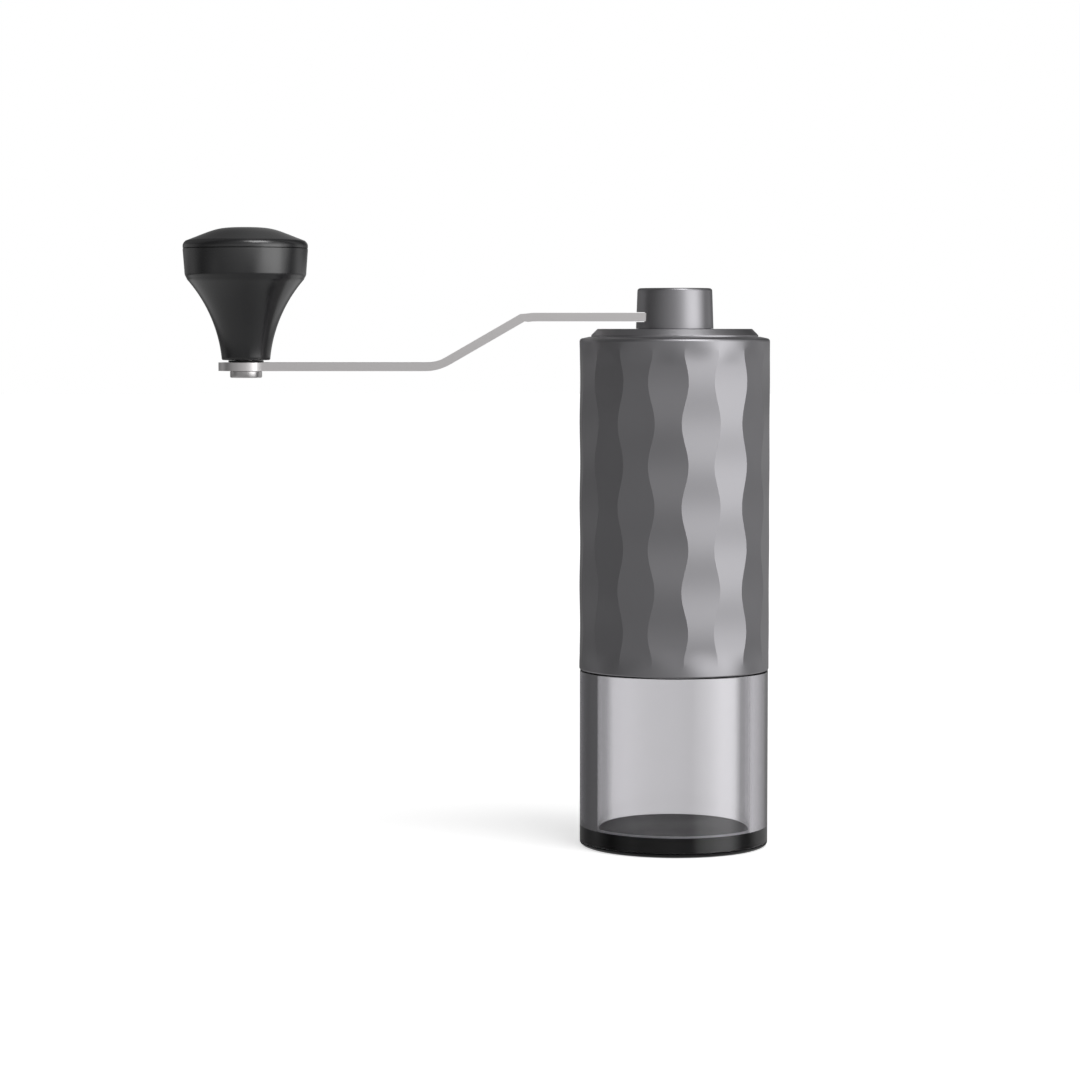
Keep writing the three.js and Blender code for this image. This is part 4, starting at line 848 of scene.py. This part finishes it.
knob_x = -116.9 * MM
eye_r = 7.5 * MM
arm_drop = 13.48 * MM
bend_x = 41.2 * MM
bend_r = 11.5 * MM
bend_slope = math.radians(30)


def bent(out, side, offset):
    """Where a point of the flat strip goes: out along it, to the side, and off its middle."""
    tangent = bend_r * math.tan(bend_slope / 2)
    far = bend_x + arm_drop / math.tan(bend_slope)
    sag = bend_r * (1 - math.cos(bend_slope))
    if out < bend_x:
        sine = min(max((out - bend_x + tangent) / bend_r, 0.0), math.sin(bend_slope))
    else:
        sine = min(max((far + tangent - out) / bend_r, 0.0), math.sin(bend_slope))
    turn = math.asin(sine)
    if turn < bend_slope:
        fall = bend_r * (1 - math.cos(turn))
        fall = fall if out < bend_x else arm_drop - fall
    else:
        fall = sag + (out - bend_x + tangent - bend_r * sine) * math.tan(bend_slope)
    middle = arm_z + arm_thickness / 2 - fall
    return Vector((-out - offset * math.sin(turn), side, middle + offset * math.cos(turn)))


def half_width(out):
    """Half the strip's width at a distance out, and round its two ends."""
    if out < 0:
        return math.sqrt(max(arm_half ** 2 - out ** 2, 0.0))
    eye = math.sqrt(max(eye_r ** 2 - (out + knob_x) ** 2, 0.0))
    return max(arm_half, eye) if out < -knob_x else eye


eye_start = -knob_x - math.sqrt(eye_r ** 2 - arm_half ** 2)
eye_end = math.acos((eye_start + knob_x) / eye_r)
strip_rows, eye_rows = 90, 24
stations = [
    *(-arm_half * math.cos(math.radians(7.5 * i)) for i in range(12)),
    *(eye_start * i / strip_rows for i in range(strip_rows + 1)),
    *(-knob_x + eye_r * math.cos(eye_end * (1 - i / eye_rows)) for i in range(1, eye_rows + 1)),
]
arm_bm = bmesh.new()
faces = {1: [], -1: []}
for level, strip in faces.items():
    for out in stations:
        half = half_width(out)
        sides = (half, -half) if half > 0.01 * MM else (0.0,)
        offset = level * arm_thickness / 2
        strip.append([arm_bm.verts.new(bent(out, side, offset)) for side in sides])
    for near, away in zip(strip, strip[1:]):
        arm_bm.faces.new([*near, *reversed(away)])
for near, away, low_near, low_away in zip(faces[1], faces[1][1:], faces[-1], faces[-1][1:]):
    for side in (0, -1):
        arm_bm.faces.new([near[side], away[side], low_away[side], low_near[side]])
pin_r = 2.5 * MM
arm_holes = [
    round_bar(5.1 * MM, arm_z - 1 * MM, arm_high.z + 1 * MM),
    round_bar(pin_r + 0.1 * MM, arm_low.z - 1 * MM, arm_low.z + arm_thickness + 1 * MM, x=knob_x),
]
arm = finish_mesh("arm_bent", machined(arm_bm, "DIFFERENCE", *arm_holes),
                  "crank", arm_steel, edge=0.5 * MM)
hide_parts("crank_arm")

# ---------------------------------------------------------------------------
# Knob pin, washer and nut. A stainless pin with a low head comes up through the
# arm's eye, with a hexagon key in the head. A thin black washer lies on the arm,
# and the nut on the pin's end holds the knob down.
# ---------------------------------------------------------------------------
pin_low, pin_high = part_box("knob_pin")
head_high = pin_low.z + 1.8 * MM
head_r = 4.35 * MM
nut_low, nut_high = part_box("pin_nut")
pin_blank = turned([
    (0.0, pin_low.z), (head_r - 0.35 * MM, pin_low.z), (head_r - 0.1 * MM, pin_low.z + 0.1 * MM),
    (head_r, pin_low.z + 0.35 * MM), (head_r, head_high - 0.1 * MM),
    (head_r - 0.1 * MM, head_high), (pin_r, head_high),
    *thread(pin_r, pin_r - 0.3 * MM, nut_low.z - 1 * MM, pin_high.z - 0.4 * MM, 0.7 * MM),
    (pin_r - 0.4 * MM, pin_high.z), (0.0, pin_high.z),
], steps=96)
pin_key = hexagon(3 * MM, pin_low.z - 1 * MM, pin_low.z + 1.1 * MM)
pin_bm = machined(pin_blank, "DIFFERENCE", pin_key)
move(pin_bm, (knob_x, 0, 0))
pin = finish_mesh("pin_turned", pin_bm, "crank", satin_steel)
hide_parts("knob_pin")

disc_low, disc_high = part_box("knob_washer")
knob_washer = finish_mesh("washer_black", ring(
    pin_r + 0.2 * MM, disc_high.y, disc_low.z, disc_high.z, x=knob_x, steps=96,
), "crank", black_rubber, edge=0.08 * MM)
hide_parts("knob_washer")

nut_r = nut_high.x - knob_x
nut_shape = turned([
    (0.0, nut_low.z), (nut_r - 0.5 * MM, nut_low.z), (nut_r, nut_low.z + 0.35 * MM),
    (nut_r, nut_high.z - 0.35 * MM), (nut_r - 0.5 * MM, nut_high.z), (0.0, nut_high.z),
])
nut_blank = machined(hexagon(8 * MM, nut_low.z, nut_high.z), "INTERSECT", nut_shape)
nut_bm = machined(nut_blank, "DIFFERENCE",
                  round_bar(pin_r + 0.1 * MM, nut_low.z - 1 * MM, nut_high.z + 1 * MM))
move(nut_bm, (knob_x, 0, 0))
nut = finish_mesh("nut_hex", nut_bm, "crank", satin_steel)
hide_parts("pin_nut")

# ---------------------------------------------------------------------------
# Knob. The grip flares from a narrow foot to a wide collar and turns on a bronze
# bush. Its domed cap snaps in with a hollow spigot and leaves a fine seam. Both are
# moulded in black plastic with a soft satin.
# ---------------------------------------------------------------------------
bronze, tree, principled = shader("bronze", Metallic=1.0)
mottle(tree, principled, (0.34, 0.44), ((0.52, 0.33, 0.17), (0.60, 0.40, 0.22)), 260, bump=0.08)
grip_plastic, tree, principled = shader("grip_plastic", Specular_IOR_Level=0.75)
mottle(tree, principled, (0.20, 0.24), ((0.009, 0.009, 0.010), (0.012, 0.012, 0.013)), 80,
       bump=0.04)

knob_low, knob_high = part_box("knob_body")
cap_low, cap_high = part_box("knob_cap")
bronze_low, bronze_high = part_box("knob_bush")
knob_r = knob_high.x - knob_x
foot_r = 6.62 * MM
seam_low, seam_high = knob_high.z, knob_high.z + 0.2 * MM
knob_height = cap_high.z - knob_low.z
knob_bush = finish_mesh("bush_bronze", ring(
    pin_r + 0.2 * MM, bronze_high.y, bronze_low.z, bronze_high.z, x=knob_x, steps=96,
), "knob", bronze, edge=0.12 * MM)
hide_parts("knob_bush")


def curved(points, steps):
    """Points along a Bezier curve through the first and last of four (radius, height) points."""
    return [tuple(p) for p in interpolate_bezier(*(Vector(p) for p in points), steps)]


def on_knob(across, up):
    """A point as shares of the knob's radius and height."""
    return knob_r * across, knob_low.z + knob_height * up


turn, shoulder = on_knob(0.933, 0.606), on_knob(0.972, 0.655)
flare = curved([
    (foot_r, knob_low.z + 0.4 * MM), on_knob(0.423, 0.185), on_knob(0.571, 0.41), turn,
], 40)
collar = curved([
    turn, on_knob(0.954, 0.631),
    (shoulder[0], shoulder[1] + 0.4 * (turn[1] - shoulder[1])), shoulder,
], 14)
wall_r = knob_r - 3 * MM
well_z = seam_low - 2.8 * MM
nut_room_r = 6.4 * MM
bush_seat_r, bush_seat_z = bronze_high.y + 0.2 * MM, bronze_high.z + 0.2 * MM
grip = finish_mesh("knob_grip", turned([
    (bush_seat_r, knob_low.z), (foot_r - 0.4 * MM, knob_low.z),
    (foot_r - 0.12 * MM, knob_low.z + 0.12 * MM), *flare, *collar[1:],
    (knob_r, seam_low - 0.2 * MM), (knob_r - 0.02 * MM, seam_low + 0.04 * MM),
    (knob_r - 0.1 * MM, seam_low + 0.1 * MM), (wall_r, seam_low + 0.1 * MM), (wall_r, well_z),
    (nut_room_r, well_z), (nut_room_r, bush_seat_z), (bush_seat_r, bush_seat_z),
], steps=160, x=knob_x), "knob", grip_plastic)
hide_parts("knob_body")

rim = (knob_r - 0.81 * MM, seam_high + 2.03 * MM)
cap_side = curved([
    (knob_r, seam_high + 0.61 * MM), (knob_r, seam_high + 1.16 * MM),
    (knob_r - 0.36 * MM, seam_high + 1.66 * MM), rim,
], 12)
dome = curved([
    rim, (0.457 * knob_r, cap_high.z - 0.43 * MM), (0.47 * knob_r, cap_high.z),
    (0.0, cap_high.z),
], 30)
spigot_r = wall_r - 0.2 * MM
spigot_bore_r = spigot_r - 2 * MM
cap = finish_mesh("knob_dome", turned([
    (0.0, seam_high + 2 * MM), (spigot_bore_r, seam_high + 1 * MM),
    (spigot_bore_r, cap_low.z), (spigot_r, cap_low.z), (spigot_r, seam_high),
    (knob_r - 0.1 * MM, seam_high), (knob_r - 0.02 * MM, seam_high + 0.05 * MM), *cap_side,
    *dome[1:],
], steps=160, x=knob_x), "knob", grip_plastic)
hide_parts("knob_cap")

# ---------------------------------------------------------------------------
# Studio. The camera sees a white floor and white surroundings. A softbox stands at the
# front right and a light overhead. Reflected and refracted rays go through the floor,
# to surroundings whose brightness depends on the direction.
# ---------------------------------------------------------------------------
scene = bpy.context.scene
scene.view_settings.view_transform = "Standard"

floor_bm = bmesh.new()
bmesh.ops.create_circle(floor_bm, cap_ends=True, segments=96, radius=6.0)
floor_mesh = bpy.data.meshes.new("floor")
floor_bm.to_mesh(floor_mesh)
floor_bm.free()
floor = bpy.data.objects.new("floor", floor_mesh)
scene.collection.objects.link(floor)
floor_white, tree, principled = shader(
    "floor_white", Base_Color=(0.80, 0.80, 0.80, 1), Roughness=0.9, Specular_IOR_Level=0.1)
# The floor's own glow, for the camera, grows with distance so that the shadow stays.
shadow_r, white_r, shadow_glow, white_glow = 0.25, 1.10, 0.62, 0.82
from_centre = node(tree, "VectorMath", node(tree, "TexCoord", result="Object"),
                   operation="LENGTH", result="Value")
brightness = node(tree, "MapRange", from_centre, shadow_r, white_r, shadow_glow, white_glow)
glow = node(tree, "Emission", Strength=brightness)
plain = principled.outputs["BSDF"]
path = tree.nodes.new("ShaderNodeLightPath").outputs
for_camera = node(tree, "MixShader", path["Is Camera Ray"], plain,
                  node(tree, "AddShader", plain, glow))
passes = node(tree, "Math", path["Is Glossy Ray"], path["Is Transmission Ray"],
              operation="MAXIMUM")
for_all = node(tree, "MixShader", passes, for_camera, node(tree, "BsdfTransparent"))
tree.links.new(for_all, output_of(tree).inputs["Surface"])
floor_mesh.materials.append(floor_white)

world = bpy.data.worlds.new("studio")
scene.world = world
world.use_nodes = True
tree = world.node_tree
tree.nodes.clear()
direction = tree.nodes.new("ShaderNodeSeparateXYZ")
tree.links.new(node(tree, "TexCoord", result="Generated"), direction.inputs["Vector"])
ray_x, ray_y, ray_z = direction.outputs
forward = node(tree, "Math", ray_y, -1.0, operation="MULTIPLY")
compass = node(tree, "MapRange", node(tree, "Math", ray_x, forward, operation="ARCTAN2"),
               -math.pi, math.pi)


def around(*stops):
    """Brightness by direction: (degrees from the front, towards +X, brightness)."""
    return ramp(tree, compass, [(0.5 + degrees / 360, value) for degrees, value in stops])


def scaled(colour, start, end, start_share, end_share):
    """A colour times a share that changes while the ray's rise goes from start to end."""
    share = node(tree, "MapRange", ray_z, start, end, start_share, end_share)
    return node(tree, "VectorMath", colour, operation="SCALE", Scale=share)


def either(first, second, choice):
    """The second colour where the choice is 1, else the first."""
    mix = tree.nodes.new("ShaderNodeMix")
    mix.data_type = "RGBA"
    tree.links.new(choice, mix.inputs["Factor"])
    tree.links.new(first, mix.inputs["A"])
    tree.links.new(second, mix.inputs["B"])
    return mix.outputs["Result"]


upper = around(
    (-180, 0.55), (-160, 0.15), (-140, 0.35), (-105, 0.42), (-80, 0.15), (-60, 0.22),
    (0, 0.90), (20, 1.60), (85, 1.60), (100, 0.10), (120, 0.70), (145, 0.10), (160, 0.15),
    (180, 0.55),
)
lower = around(
    (-180, 0.25), (-130, 0.20), (-110, 0.42), (-85, 0.10), (-55, 0.50), (-40, 0.40),
    (0, 0.50), (20, 0.30), (30, 1.70), (55, 2.90), (70, 2.90), (90, 0.30), (100, 0.15),
    (120, 0.75), (180, 0.25),
)
through = around(
    (-180, 0.75), (-175, 0.85), (-170, 0.85), (-165, 0.50), (-130, 0.25), (0, 0.30),
    (90, 0.50), (160, 0.40), (165, 0.95), (170, 0.95), (175, 0.70), (180, 0.75),
)
edge_on = around(
    (-180, 0.10), (0, 0.10), (90, 0.40), (130, 0.70), (165, 0.40), (180, 0.10),
)
ground = around(
    (-180, 0.70), (-60, 0.45), (0, 0.35), (30, 0.35), (90, 0.50), (130, 0.80), (180, 0.70),
)
# Rays that dip from steep to steepest turn to the ground. A refracted ray past
# whole_depth has gone through the whole cup, and not only along its wall's edge.
steep, steepest, whole_depth = -0.20, -0.34, 2.5
below = either(scaled(lower, -0.30, -0.06, 0.10, 1.0), ground,
               node(tree, "MapRange", ray_z, steep, steepest))
above = scaled(upper, 0.10, 0.26, 1.0, 0.55)
reflected = either(below, above, node(tree, "Math", ray_z, 0.0, operation="GREATER_THAN"))
rays = tree.nodes.new("ShaderNodeLightPath").outputs
whole = node(tree, "Math", rays["Transmission Depth"], whole_depth, operation="GREATER_THAN")
refracted = either(edge_on, through, whole)
met = node(tree, "Background", either(reflected, refracted, rays["Is Transmission Ray"]))
white = node(tree, "Background", (1, 1, 1, 1))
shown = node(tree, "MixShader", rays["Is Camera Ray"], met, white)
tree.links.new(shown, tree.nodes.new("ShaderNodeOutputWorld").inputs["Surface"])

target = Vector((0.0, 0.0, 0.10))
# Name, azimuth from the front towards +X, elevation, distance, width, height, radiance.
lamps = (
    ("softbox_right", 52, 17, 1.3, 1.0, 0.80, 1.1),
    ("top_light", 35, 65, 1.3, 0.60, 0.60, 5.0),
)
for name, azimuth, elevation, distance, width, height, radiance in lamps:
    lamp = bpy.data.lights.new(name, "AREA")
    lamp.shape = "RECTANGLE"
    lamp.size, lamp.size_y = width, height
    lamp.energy = radiance * math.pi * width * height
    holder = bpy.data.objects.new(name, lamp)
    a, e = math.radians(azimuth), math.radians(elevation)
    away = Vector((math.sin(a) * math.cos(e), -math.cos(a) * math.cos(e), math.sin(e)))
    holder.location = target + away * distance
    holder.rotation_euler = away.to_track_quat("Z", "Y").to_euler()
    scene.collection.objects.link(holder)

camera = bpy.data.cameras.new("camera")
camera.lens = 108.79
camera.sensor_width = 36.0
viewpoint = bpy.data.objects.new("camera", camera)
viewpoint.location = (-0.03672, -0.89146, 0.1421)
viewpoint.rotation_euler = (math.radians(86.26), 0.0, 0.0)
scene.collection.objects.link(viewpoint)
scene.camera = viewpoint
